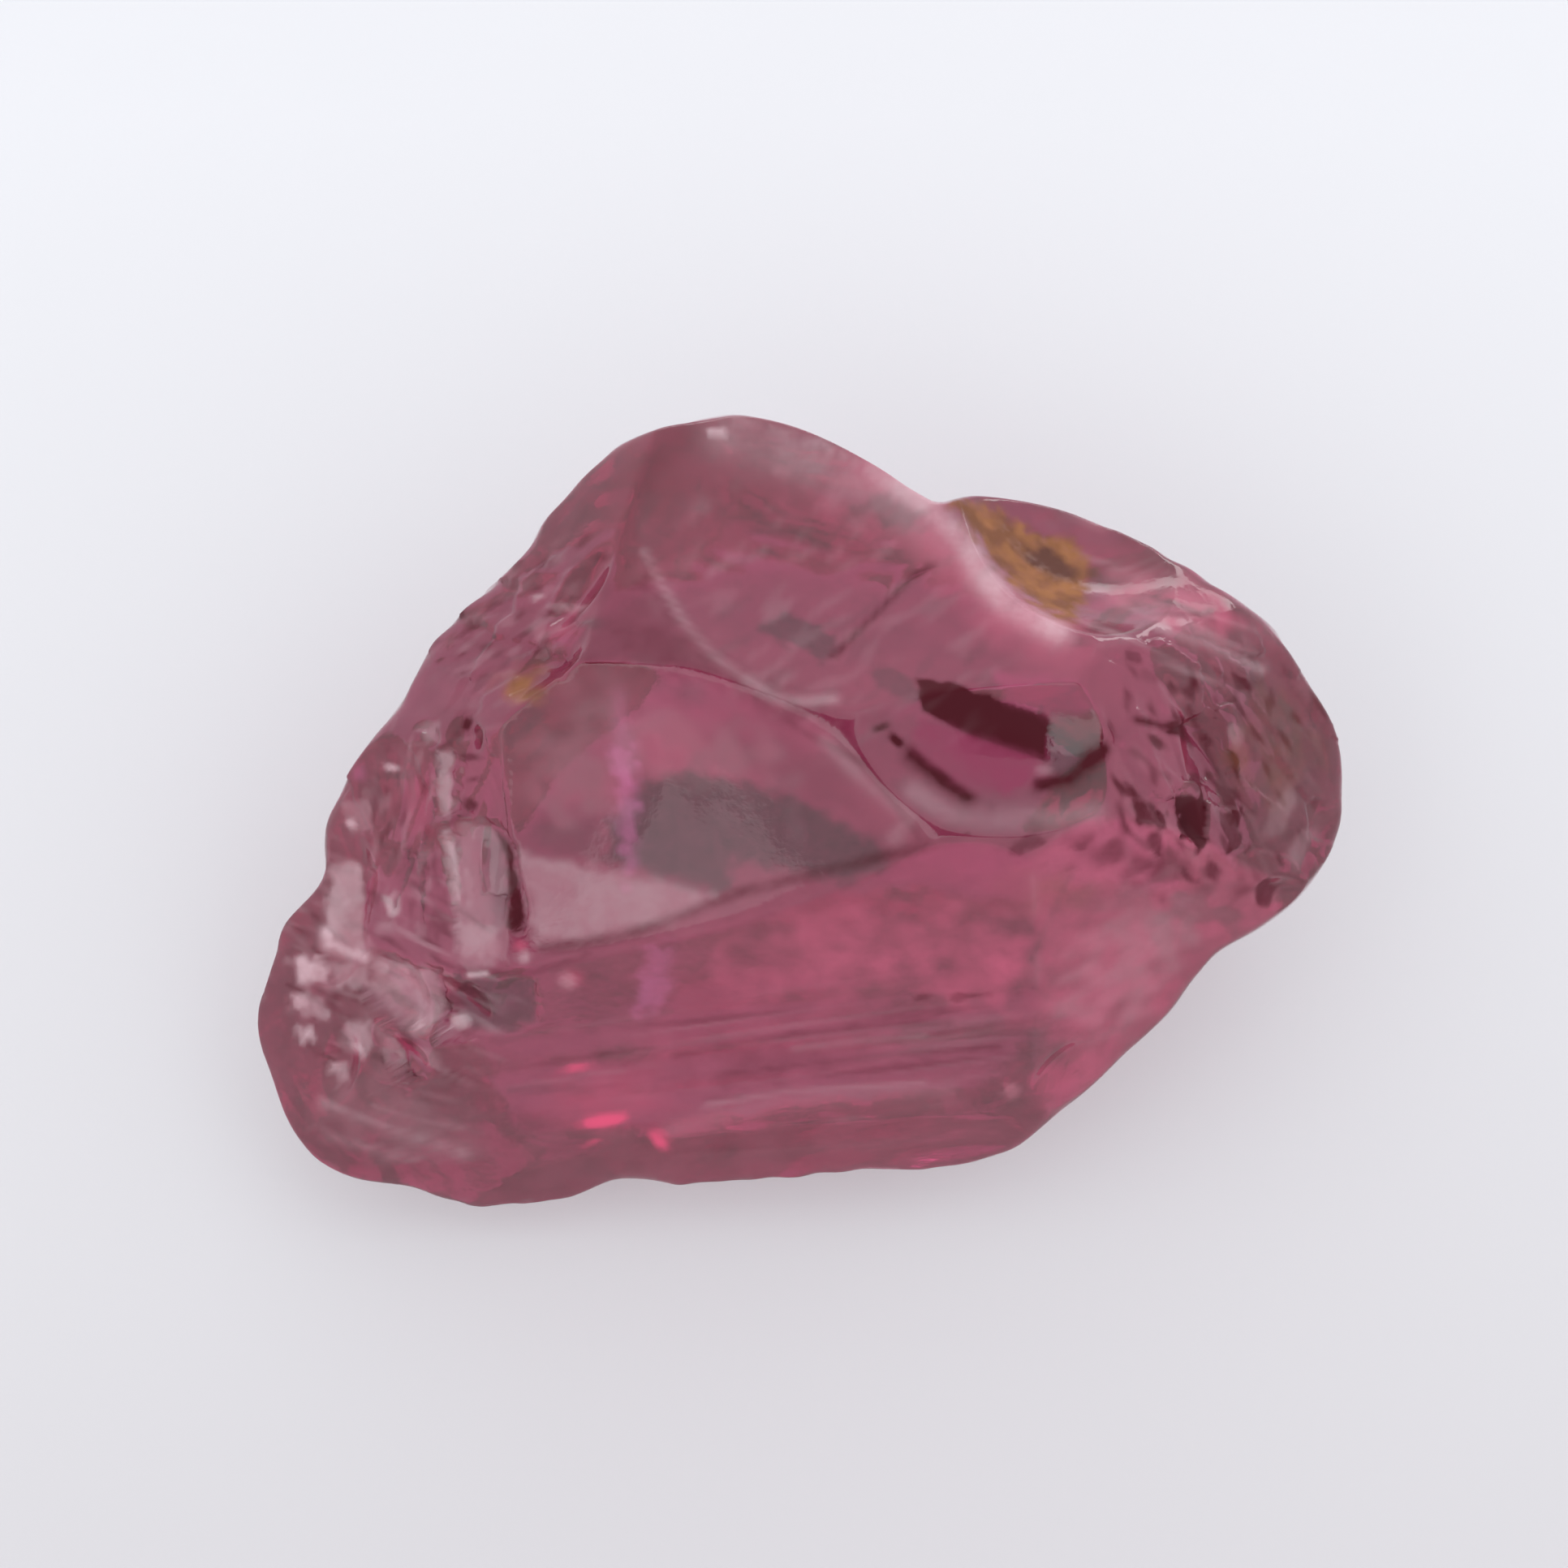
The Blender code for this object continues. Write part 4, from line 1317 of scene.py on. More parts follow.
    Patch(Wash.MILK, Blot((2.20, -1.90), (1.20, 0.90), 0.0, 0.9, 0.3, 2.0), 0.85),
    Patch(Wash.SHADE, Blot((-0.40, -3.05), (3.40, 0.50), 6.0, 0.9, 0.5, 2.0), 0.26),
    Patch(Wash.BRUISE_AND_HIGHLIGHT, Blot((4.00, -1.80), (1.40, 0.80), 50.0, 0.9, 0.6, 2.0), 0.1),
    Patch(Wash.DUSK_SHADE, Blot((3.90, -1.10), (1.10, 0.40), -10.0, 0.9, 0.8, 2.0), 0.3),
    Patch(Wash.DUSK_SHADE, Blot((2.95, -2.95), (0.55, 0.42), 35.0, 0.9, 0.6, 2.0), 0.6),
    Patch(Wash.DUSK_SHADE, Blot((2.30, -3.60), (0.80, 0.34), 30.0, 0.9, 0.6, 2.0), 0.4),
    Patch(Wash.BRUISE_AND_HIGHLIGHT, Blot((-2.86, -2.06), (0.12, 0.16), 20.0, 1.0, 0.4, 2.0), 0.26),
    Patch(Wash.FLASH, Blot((-2.80, -2.02), (0.18, 0.20), 20.0, 1.0, 0.4, 2.0), 0.16),
    # The front face: dark and pale streaks along it
    Thread(Wash.SHADE, ((-1.60, -3.00), (-0.20, -2.74), (1.10, -2.60), (1.80, -2.58)), 0.07, 0.42),
    Thread(Wash.SHADE, ((-0.20, -2.70), (0.60, -2.64), (1.40, -2.58)), 0.04, 0.35),
    Thread(Wash.SHADE, ((-1.10, -3.24), (-0.10, -3.12), (1.15, -2.96), (2.40, -2.88)), 0.06, 0.38),
    Thread(Wash.SHADE, ((-2.20, -3.10), (-1.50, -2.86), (-0.60, -2.72)), 0.06, 0.25),
    Thread(Wash.SHADE, ((-0.40, -3.70), (0.80, -3.52), (1.60, -3.46)), 0.1, 0.22),
    Patch(Wash.SHADE, Blot((1.42, -2.28), (0.22, 0.06), 6.0, 0.8, 0.9), 0.5),
    Patch(Wash.SHADE, Blot((2.06, -2.24), (0.26, 0.06), 8.0, 0.8, 0.9), 0.5),
    Patch(Wash.SHADE, Blot((2.62, -2.20), (0.14, 0.05), 8.0, 0.8, 0.9), 0.35),
    Thread(Wash.BRUISE_AND_HIGHLIGHT, ((-1.60, -3.92), (-0.40, -3.62), (0.60, -3.50), (1.80, -3.42)), 0.12, 0.07),
    Thread(Wash.BRUISE_AND_HIGHLIGHT, ((-0.10, -2.90), (0.70, -2.80), (1.50, -2.74)), 0.05, 0.08),
    Thread(Wash.BRUISE_AND_HIGHLIGHT, ((-1.20, -3.62), (-0.20, -3.45), (1.50, -3.34)), 0.05, 0.1),
    Thread(Wash.DUSK_SHADE, ((3.20, -0.78), (2.50, -2.40)), 0.05, 0.3),
    Thread(Wash.DUSK_SHADE, ((-3.60, -3.42), (-3.00, -3.40), (-2.60, -3.46)), 0.05, 0.4),
    Veins(Wash.SHADE, Streaks(7.0, 0.1, 2.6, 1.0, FRONT_MIDDLE, 21.0), 0.3),
    Veins(Wash.BRUISE_AND_HIGHLIGHT, Streaks(8.0, 0.09, 3.0, 1.0, FRONT_MIDDLE, 27.0), 0.05),
    Veins(Wash.SHADE, Streaks(4.0, 0.12, 2.5, 1.0, FRONT_LOW, 31.0), 0.24),
    # The painted glints from under the front face
    Patch(Wash.FLASH, Blot((2.54, -3.42), (0.12, 0.14), -20.0, 0.9, 0.4, 2.0), 0.22),
    Patch(Wash.BRUISE_AND_HIGHLIGHT, Blot((2.54, -3.42), (0.12, 0.14), -20.0, 0.9, 0.4, 2.0), 0.2),
    Patch(Wash.FLASH, Blot((-2.47, -3.80), (0.38, 0.11), 9.0, 0.8, 0.3), 1.0),
    Patch(Wash.FLASH, Blot((-2.75, -3.13), (0.24, 0.10), 5.0, 0.9, 0.4), 0.7),
    Patch(Wash.FLASH, Blot((-1.75, -4.08), (0.24, 0.12), -50.0, 0.9, 0.5), 0.75),
    Patch(Wash.FLASH, Blot((-2.62, -4.10), (0.16, 0.07), 10.0, 0.9, 0.5), 0.55),
    Patch(Wash.FLASH, Blot((-2.40, -3.50), (1.10, 0.60), 10.0, 1.0, 0.3, 2.0), 0.17),
    # Broken faces that are dull rather than glassy
    Patch(Wash.FROST, Blot((-5.20, -1.90), (1.70, 2.40), 60.0, 0.8), 0.6),
    Patch(Wash.FROST, Blot((3.60, -0.55), (1.90, 0.35), -5.0, 0.6), 0.5),
)


@dataclass(frozen=True)
class View:
    """How the viewer sees the stone, and how that view lies in the room."""

    elevation: float = 75.0
    rest_depth: float = 3.25
    frame_width: float = 19.32
    aim: Place = (-0.24, 0.34)
    lens: float = 200.0
    sensor: float = 36.0
    clip: Place = (0.001, 10.0)

    def turn(self) -> Matrix:
        """The turn from the viewer's frame to the way the stone rests, with +Z up."""
        return Matrix.Rotation(radians(90.0 - self.elevation), 3, "X")

    def down(self) -> np.ndarray:
        """Which way is down in the viewer's frame."""
        return np.array(self.turn().transposed() @ Vector((0, 0, -1)))


@dataclass(frozen=True)
class Placement:
    """Where the viewer's frame lies in the room: its turn, then its shift in metres."""

    turn: Matrix
    shift: Vector

    def room_point(self, point: Point) -> Vector:
        """A point of the viewer's frame, in millimetres, as a place in the room in metres."""
        return self.turn @ (Vector(point) * MM) + self.shift


@dataclass(frozen=True)
class RestingFace:
    """The flat face underneath, that the stone lies on."""

    depth: float
    down: tuple[float, float, float]

    def reach(self, rays: np.ndarray) -> np.ndarray:
        """How far each ray runs to the ground."""
        fall = rays @ np.array(self.down)
        return np.where(fall > TINY, self.depth / np.maximum(fall, TINY), NO_MEETING)


@dataclass
class Stone:
    """The broken crystal: its skin, its broken faces, its chips and the marks on them."""

    view: View
    skin: Skin = Skin(RIM)
    skin_relief: tuple[Relief, ...] = (Rings((1.00, 5.60, -2.40), 0.42, 0.070, 68.0),)
    faces: tuple[Fracture, ...] = CROWN + ROOT
    chips: tuple[Chip, ...] = CHIPS
    marks: tuple[Relief, ...] = MARKS
    washes: tuple[Patch | Thread | Veins, ...] = WASHES
    busy_zones: tuple[Zone, ...] = (TIP, LEFT_SIDE, SPOON, RIGHT_SIDE)
    ridge_rounding: float = 0.03
    relief_fade: float = 0.10
    # The pale wear and painted highlight along the ridges; the width also blends the faces' tones
    wear_width: float = 0.03
    wear_and_sheen: float = 0.05
    wear_fineness: float = 1.5
    ray_subdivisions: int = 6
    ray_stretch: Point = (6.0, 4.6, 3.6)
    fine_rays_from: float = -1.2
    ridge_subdivisions: int = 2

    def plain_reaches(self, rays: np.ndarray) -> list[np.ndarray]:
        """Runs rays to the skin, the ground and each broken face.

        Args:
            rays: The unit rays.

        Returns:
            For each of them, how far each ray runs.
        """
        resting = RestingFace(self.view.rest_depth, tuple(self.view.down()))
        sheets = (self.skin, resting, *self.faces)
        return [sheet.reach(rays) for sheet in sheets]

    def chip_reaches(self, rays: np.ndarray) -> list[np.ndarray]:
        """Runs rays to each chip.

        Args:
            rays: The unit rays.

        Returns:
            For each chip, how far each ray runs.
        """
        reaches = []
        for chip in self.chips:
            towards = np.array(chip.towards)[None, :] / np.linalg.norm(chip.towards)
            surface = min(reach[0] for reach in self.plain_reaches(towards))
            reaches.append(chip.reach(rays, surface))
        return reaches

    def eased_reach(self, reaches: Sequence[np.ndarray]) -> np.ndarray:
        """Rounds the ridges where faces meet.

        Args:
            reaches: How far each ray runs to each face.

        Returns:
            How far each ray runs to the nearest face, eased where two of them meet.
        """
        shortest = np.min(reaches, axis=0)
        crowd = sum(np.exp((shortest - reach) / self.ridge_rounding) for reach in reaches)
        return shortest - self.ridge_rounding * np.log(crowd)

    def reach(self, rays: np.ndarray) -> np.ndarray:
        """Runs rays to the stone's surface, with its relief and its marks.

        Args:
            rays: The unit rays.

        Returns:
            How far each ray runs.
        """
        plain = self.plain_reaches(rays)
        reach = self.eased_reach(plain + self.chip_reaches(rays))
        points = rays * reach[:, None]
        shortest = np.min(plain, axis=0)
        relief = np.zeros(len(rays))
        reliefs = [self.skin_relief, ()] + [face.relief for face in self.faces]
        for kinds, own in zip(reliefs, plain):
            near = np.exp((shortest - own) / self.relief_fade)
            for kind in kinds:
                relief += near * kind.height(points)
        towards_viewer = smooth_step(points[:, 2] / FULL_MARKS_FROM)
        for mark in self.marks:
            relief += towards_viewer * mark.height(points)
        return reach + relief

    def ball_of_rays(self) -> bmesh.types.BMesh:
        """Makes a ball, stretched like the stone, finer where the faces meet.

        Returns:
            The ball, with a vertex for each ray.
        """
        ball = bmesh.new()
        bmesh.ops.create_icosphere(ball, subdivisions=self.ray_subdivisions, radius=1.0)
        bmesh.ops.scale(ball, verts=ball.verts, vec=self.ray_stretch)
        seen = [
            edge
            for edge in ball.edges
            if all(vertex.co.z > self.fine_rays_from for vertex in edge.verts)
        ]
        bmesh.ops.subdivide_edges(ball, edges=seen, cuts=1, use_grid_fill=True)
        bmesh.ops.triangulate(ball, faces=ball.faces)
        for _ in range(self.ridge_subdivisions):
            ball.verts.index_update()
            rays = self.rays_of(ball)
            nearest = np.argmin(self.plain_reaches(rays) + self.chip_reaches(rays), axis=0)
            ridges = [
                edge
                for edge in ball.edges
                if nearest[edge.verts[0].index] != nearest[edge.verts[1].index]
            ]
            bmesh.ops.subdivide_edges(ball, edges=ridges, cuts=1, use_grid_fill=True)
            bmesh.ops.triangulate(ball, faces=ball.faces)
        self.refine_busy_zones(ball)
        return ball

    def refine_busy_zones(self, ball: bmesh.types.BMesh) -> None:
        """Makes the triangles smaller where there is fine relief, and on the curved skin.

        Args:
            ball: The ball of rays.
        """
        ball.verts.index_update()
        rays = self.rays_of(ball)
        reaches = self.plain_reaches(rays)
        points = rays * np.min(reaches, axis=0)[:, None]
        busy = sum(zone.share(points) for zone in self.busy_zones) * (points[:, 2] > SEEN_FROM) > 0
        busy |= np.argmin(reaches, axis=0) == 0
        edges = [edge for edge in ball.edges if all(busy[vertex.index] for vertex in edge.verts)]
        bmesh.ops.subdivide_edges(ball, edges=edges, cuts=1, use_grid_fill=True)
        bmesh.ops.triangulate(ball, faces=ball.faces)

    @staticmethod
    def rays_of(shape: bmesh.types.BMesh) -> np.ndarray:
        """The unit ray through each vertex of a ball."""
        rays = np.array([vertex.co for vertex in shape.verts])
        return rays / np.linalg.norm(rays, axis=1)[:, None]

    def build(self, name: str, middle: Vector) -> tuple[bpy.types.Object, Placement]:
        """Makes the stone's mesh and puts it over a place.

        Args:
            name: The name of the piece.
            middle: Where the middle of its box lies on the floor.

        Returns:
            The piece, and where the viewer's frame lies in the room.
        """
        shape = self.ball_of_rays()
        rays = self.rays_of(shape)
        points = rays * self.reach(rays)[:, None]
        for vertex, point in zip(shape.verts, points * MM):
            vertex.co = Vector(point)
        turn = self.view.turn()
        bmesh.ops.rotate(shape, verts=shape.verts, cent=(0, 0, 0), matrix=turn)
        corners = np.array([vertex.co for vertex in shape.verts])
        own_middle = (corners.min(axis=0) + corners.max(axis=0)) / 2
        shift = Vector(
            (middle.x - own_middle[0], middle.y - own_middle[1], self.view.rest_depth * MM)
        )
        bmesh.ops.translate(shape, verts=shape.verts, vec=shift)
        for face in shape.faces:
            face.smooth = True
        mesh = bpy.data.meshes.new(name)
        shape.to_mesh(mesh)
        shape.free()
        self.lay_washes(mesh, points)
        piece = bpy.data.objects.new(name, mesh)
        bpy.context.scene.collection.objects.link(piece)
        return piece, Placement(turn, shift)

    def lay_washes(self, mesh: bpy.types.Mesh, points: np.ndarray) -> None:
        """Writes how strongly each vertex is washed with each wash.

        Args:
            mesh: The stone's mesh.
            points: Where its vertices are in the viewer's frame.
        """
        films = self.films(points)
        for wash in Wash:
            share = films.get(wash, np.zeros(len(points)))
            for patch in self.washes:
                if patch.wash is wash:
                    share = np.maximum(share, patch.share(points))
            layer = mesh.attributes.new(wash.value, "FLOAT", "POINT")
            layer.data.foreach_set("value", share.astype(np.float32))

    def films(self, points: np.ndarray) -> dict[Wash, np.ndarray]:
        """The washes that whole faces have as painted light and shade, and the pale wear and painted
        highlight along the ridges.

        Args:
            points: Where the vertices are in the viewer's frame.

        Returns:
            For each such wash, how strongly each vertex is washed.
        """
        rays = points / np.linalg.norm(points, axis=1)[:, None]
        plain = self.plain_reaches(rays)
        nearest, second = np.sort(plain, axis=0)[:2]
        near = [np.exp((nearest - own) / self.wear_width) for own in plain]
        tones = [Tone(), Tone()] + [face.tone for face in self.faces]
        films = {
            wash: sum(share * getattr(tone, name) for share, tone in zip(near, tones)) / sum(near)
            for wash, name in ((Wash.MILK, "milk"), (Wash.DUSK_SHADE, "dusk_shade"), (Wash.SHADE, "shade"))
        }
        # Pale wear along the ridges, also painting their highlights
        ridge = np.exp(-(((second - nearest) / self.wear_width) ** 2)) * (points[:, 2] > SEEN_FROM)
        worn_and_shining = risen(noise_over(*(points * self.wear_fineness).T))
        films[Wash.BRUISE_AND_HIGHLIGHT] = ridge * worn_and_shining * self.wear_and_sheen
        return films


@dataclass(frozen=True)
class Signal:
    """A number that runs through a material's nodes, with the operators of plain arithmetic."""

    bench: "Bench"
    socket: bpy.types.NodeSocket

    def __add__(self, other: "Signal | float") -> "Signal":
        """The sum."""
        return self.bench.maths("ADD", self, other)

    def __radd__(self, other: float) -> "Signal":
        """The sum."""
        return self.bench.maths("ADD", other, self)

    def __sub__(self, other: "Signal | float") -> "Signal":
        """The difference."""
        return self.bench.maths("SUBTRACT", self, other)

    def __rsub__(self, other: float) -> "Signal":
        """The difference."""
        return self.bench.maths("SUBTRACT", other, self)

    def __mul__(self, other: "Signal | float") -> "Signal":
        """The product."""
        return self.bench.maths("MULTIPLY", self, other)

    def __rmul__(self, other: float) -> "Signal":
        """The product."""
        return self.bench.maths("MULTIPLY", other, self)

    def __truediv__(self, other: "Signal | float") -> "Signal":
        """The quotient."""
        return self.bench.maths("DIVIDE", self, other)

    def __rtruediv__(self, other: float) -> "Signal":
        """The quotient."""
        return self.bench.maths("DIVIDE", other, self)

    def __pow__(self, other: "Signal | float") -> "Signal":
        """The power."""
        return self.bench.maths("POWER", self, other)

    def __rpow__(self, other: float) -> "Signal":
        """The power."""
        return self.bench.maths("POWER", other, self)

    def clamped(self) -> "Signal":
        """The value, held between 0 and 1."""
        return self.bench.add("ShaderNodeClamp", {}, {"Value": self})

    def rising(self, onset: "Onset") -> "Signal":
        """How far the value is above its onset, times the gain, held between 0 and 1."""
        return ((self - onset.start) * onset.gain).clamped()


@dataclass(frozen=True)
class Grain:
    """Noise over a surface: how many cells a unit of length has, and how detailed they are."""

    fineness: float
    detail: float


# Which output of a node is wanted, where it isn't the first
OBJECT_COORDINATES = 3
COLOUR_RESULT = 2
FACTOR = 2
DEPTH = 1


class Bench:
    """The nodes of one material, and the one way to add to them."""

    def __init__(self, name: str) -> None:
        """Starts an empty material.

        Args:
            name: The material's name.
        """
        self.material = bpy.data.materials.new(name)
        self.material.use_nodes = True
        self.tree = self.material.node_tree
        self.tree.nodes.clear()

    def add(
        self,
        kind: str,
        settings: Mapping[str, Any],
        inputs: Mapping[str, Any],
        output: int = 0,
    ) -> Signal:
        """Adds a node.

        Args:
            kind: The node's type.
            settings: What is set on the node first.
            inputs: A value or a signal for each socket, by its identifier.
            output: Which of its outputs is wanted.

        Returns:
            The signal of that output.
        """
        node = self.tree.nodes.new(kind)
        for name, value in settings.items():
            setattr(node, name, value)
        sockets = {socket.identifier: socket for socket in node.inputs}
        for name, value in inputs.items():
            if isinstance(value, Signal):
                self.tree.links.new(value.socket, sockets[name])
            else:
                sockets[name].default_value = value
        return Signal(self, node.outputs[output] if node.outputs else None)

    def maths(self, operation: str, first: Signal | float, second: Signal | float) -> Signal:
        """One step of arithmetic on two values."""
        settings = {"operation": operation}
        return self.add("ShaderNodeMath", settings, {"Value": first, "Value_001": second})

    def mix(self, share: Signal, none: Any, full: Any) -> Signal:
        """A colour between two others, by a share."""
        return self.add(
            "ShaderNodeMix",
            {"data_type": "RGBA"},
            {"Factor_Float": share, "A_Color": none, "B_Color": full},
            COLOUR_RESULT,
        )

    def wash(self, wash: Wash) -> Signal:
        """How strongly the surface is washed with something."""
        return self.add("ShaderNodeAttribute", {"attribute_name": wash.value}, {}, FACTOR)

    def noise(self, vector: Signal, grain: Grain) -> Signal:
        """Noise from 0 to 1 over a vector."""
        return self.add(
            "ShaderNodeTexNoise",
            {"noise_dimensions": "3D"},
            {"Vector": vector, "Scale": grain.fineness, "Detail": grain.detail},
        )

    def layer(self, share: Signal, under: Signal, over: Signal) -> Signal:
        """A shader with another laid over part of it."""
        return self.add(
            "ShaderNodeMixShader", {}, {"Fac": share, "Shader": under, "Shader_001": over}
        )


def opaque(colour: Colour) -> tuple[float, float, float, float]:
    """A colour with full alpha."""
    return (*colour, 1.0)


@dataclass(frozen=True)
class Speckle:
    """A share with a plain part, and a part that follows the grain."""

    plain: float
    grainy: float

    def over(self, grain: Signal) -> Signal:
        """The share, where the grain is known."""
        return self.plain + grain * self.grainy


@dataclass(frozen=True)
class Onset:
    """Where a noise starts to count, and how fast it then grows."""

    start: float
    gain: float


@dataclass(frozen=True)
class GarnetFinish:
    """Purplish red glassy crystal, with ochre iron stains and pale bruises, under films of painted
    shade, highlights, sheens and glints.

    bump_height is in millimetres, and absorb_density is per metre. A film covers more between
    the clots of the milk, and at its core, where its wash is strongest.
    """

    refraction: float = 1.76
    absorb_density: float = 600.0
    absorb_colour: Colour = (0.935, 0.58, 0.78)
    clear: Colour = (0.80, 0.28, 0.46)
    cloudy: Colour = (0.68, 0.26, 0.41)
    depths: Colour = (0.42, 0.10, 0.20)
    # The grey of the painted dusk shade
    dusk_shade_colour: Colour = (0.06, 0.05, 0.06)
    ochre: Colour = (0.40, 0.155, 0.050)
    umber: Colour = (0.23, 0.080, 0.030)
    brown: Colour = (0.125, 0.036, 0.020)
    milk: Colour = (0.60, 0.125, 0.21)
    # The milk where the painted dusk shade greys it
    dusk_shaded_milk: Colour = (0.19, 0.095, 0.105)
    # Pale bruises, and painted highlights and sheens
    bruise_and_highlight: Colour = (0.86, 0.66, 0.70)
    # The painted violet sheen and reflections
    violet: Colour = (0.72, 0.20, 0.42)
    # The painted pink glints
    painted_glint: Colour = (1.00, 0.11, 0.24)
    # The colour of the painted shade
    deep: Colour = (0.078, 0.004, 0.011)
    polish: float = 0.05
    scuffing: float = 0.05
    frosting: float = 0.20
    film_roughness: float = 0.45
    film_shine: float = 0.15
    crust_roughness: float = 0.75
    bump_strength: float = 0.25
    bump_height: float = 0.03
    frost_bumps: Speckle = Speckle(0.3, 1.5)
    grey_share: Speckle = Speckle(0.6, 0.6)
    crust_share: Speckle = Speckle(0.7, 0.5)
    brown_share: Speckle = Speckle(0.7, 1.0)
    film_share: Speckle = Speckle(0.5, 0.5)
    film_between_clots: float = 0.5
    film_core: float = 0.4
    milk_plain: float = 0.50
    milk_in_clots: float = 0.36
    milk_in_veil: float = 0.56
    milk_shading: float = 1.1
    depths_share: float = 0.4
    cloud_onset: Onset = Onset(0.45, 4.0)
    depths_onset: Onset = Onset(0.46, 4.0)
    ochre_onset: Onset = Onset(0.38, 4.0)
    clot_onset: Onset = Onset(0.40, 5.0)
    fine: Grain = Grain(9.0, 3.0)
    veil: Grain = Grain(3.6, 5.0)
    spots: Grain = Grain(3.0, 2.0)
    mottle: Grain = Grain(1.7, 6.0)
    cloud: Grain = Grain(0.6, 1.0)

    def make(self) -> bpy.types.Material:
        """Makes the material: clear crystal under films, with crusts on them.

        Returns:
            The material.
        """
        bench = Bench("rhodolite_garnet")
        spot = bench.add("ShaderNodeTexCoord", {}, {}, OBJECT_COORDINATES)
        place = bench.add(
            "ShaderNodeMapping", {"vector_type": "TEXTURE"}, {"Vector": spot, "Scale": (MM, MM, MM)}
        )
        washes = {wash: bench.wash(wash) for wash in Wash}
        fine, veil, mottle = (
            bench.noise(place, grain) for grain in (self.fine, self.veil, self.mottle)
        )
        frost = washes[Wash.FROST]
        height = fine * self.frost_bumps.over(frost) + mottle
        bump = bench.add(
            "ShaderNodeBump",
            {},
            {"Strength": self.bump_strength, "Distance": self.bump_height * MM, "Height": height},
        )
        crystal = bench.add(
            "ShaderNodeBsdfPrincipled",
            {},
            {
                "Base Color": self.crystal_tint(bench, place, washes[Wash.DUSK_SHADE], fine, veil),
                "Roughness": self.polish + fine * self.scuffing + frost * self.frosting,
                "IOR": self.refraction,
                "Transmission Weight": 1.0,
                "Normal": bump,
            },
        )
        film_tint, film_cover = self.film(bench, washes, fine, veil, mottle)
        film = bench.add(
            "ShaderNodeBsdfPrincipled",
            {},
            {
                "Base Color": film_tint,
                "Roughness": self.film_roughness,
                "Specular IOR Level": self.film_shine,
                "Normal": bump,
            },
        )
        crust = bench.add(
            "ShaderNodeBsdfPrincipled",
            {},
            {
                "Base Color": self.crust_tint(bench, place, washes[Wash.DUSK_SHADE], fine),
                "Roughness": self.crust_roughness,
                "Normal": bump,
            },
        )
        crust_cover = (washes[Wash.STAIN] * self.crust_share.over(fine)).clamped()
        surface = bench.layer(crust_cover, bench.layer(film_cover, crystal, film), crust)
        body = bench.add(
            "ShaderNodeVolumeAbsorption",
            {},
            {"Color": opaque(self.absorb_colour), "Density": self.absorb_density},
        )
        bench.add("ShaderNodeOutputMaterial", {}, {"Surface": surface, "Volume": body})
        return bench.material

    def crystal_tint(
        self, bench: Bench, place: Signal, dusk_shade: Signal, fine: Signal, veil: Signal
    ) -> Signal:
        """Colours the clear crystal.

        Args:
            bench: The material's nodes.
            place: Where on the stone it is, in millimetres.
            dusk_shade: How strongly painted shade greys the stone there.
            fine: Fine noise.
            veil: Coarser noise, for the darker depths.

        Returns:
            The colour.
        """
        cloud = bench.noise(place, self.cloud)
        cloudy = cloud.rising(self.cloud_onset)
        tint = bench.mix(cloudy, opaque(self.clear), opaque(self.cloudy))
        deep = veil.rising(self.depths_onset) * self.depths_share
        tint = bench.mix(deep, tint, opaque(self.depths))
        grey = (dusk_shade * self.grey_share.over(fine)).clamped()
        return bench.mix(grey, tint, opaque(self.dusk_shade_colour))

    def crust_tint(self, bench: Bench, place: Signal, dusk_shade: Signal, fine: Signal) -> Signal:
        """Colours the iron crust: ochre with umber spots, and darker brown where the dusk shade lies.

        Args:
            bench: The material's nodes.
            place: Where on the stone it is, in millimetres.
            dusk_shade: How dark the crust is there.
            fine: Fine noise.

        Returns:
            The colour.
        """
        spots = bench.noise(place, self.spots)
        pale = spots.rising(self.ochre_onset)
        rust = bench.mix(pale, opaque(self.umber), opaque(self.ochre))
        brown = (dusk_shade * self.brown_share.over(fine)).clamped()
        return bench.mix(brown, rust, opaque(self.brown))

    def film(
        self, bench: Bench, washes: Mapping[Wash, Signal], fine: Signal, veil: Signal, mottle: Signal
    ) -> tuple[Signal, Signal]:
        """Lays the milk, and over it the bruises and painted highlights, the painted sheens and
        glints, and the painted shade.

        Args:
            bench: The material's nodes.
            washes: How strongly the stone is washed with each wash.
            fine: Fine noise.
            veil: Coarser noise.
            mottle: Still coarser noise, for clots in the milk.

        Returns:
            The film's colour, and how much of the stone it covers.
        """
        clots = mottle.rising(self.clot_onset)
        milky = self.milk_plain + clots * self.milk_in_clots + veil * self.milk_in_veil
        cover = washes[Wash.MILK] * milky * (1 - washes[Wash.SHADE])
        dusk_shaded = (washes[Wash.DUSK_SHADE] * self.milk_shading).clamped()
        tint = bench.mix(dusk_shaded, opaque(self.milk), opaque(self.dusk_shaded_milk))
        patchy = self.film_share.over(fine) + (1 - clots) * self.film_between_clots
        for wash, colour in (
            (Wash.BRUISE_AND_HIGHLIGHT, self.bruise_and_highlight),
            (Wash.VIOLET, self.violet),
            (Wash.FLASH, self.painted_glint),
            (Wash.SHADE, self.deep),
        ):
            amount = washes[wash] * (patchy + washes[wash] ** 3 * self.film_core)
            cover = cover + amount
            tint = bench.mix((amount / (cover + TINY)).clamped(), tint, opaque(colour))
        return tint, cover.clamped()


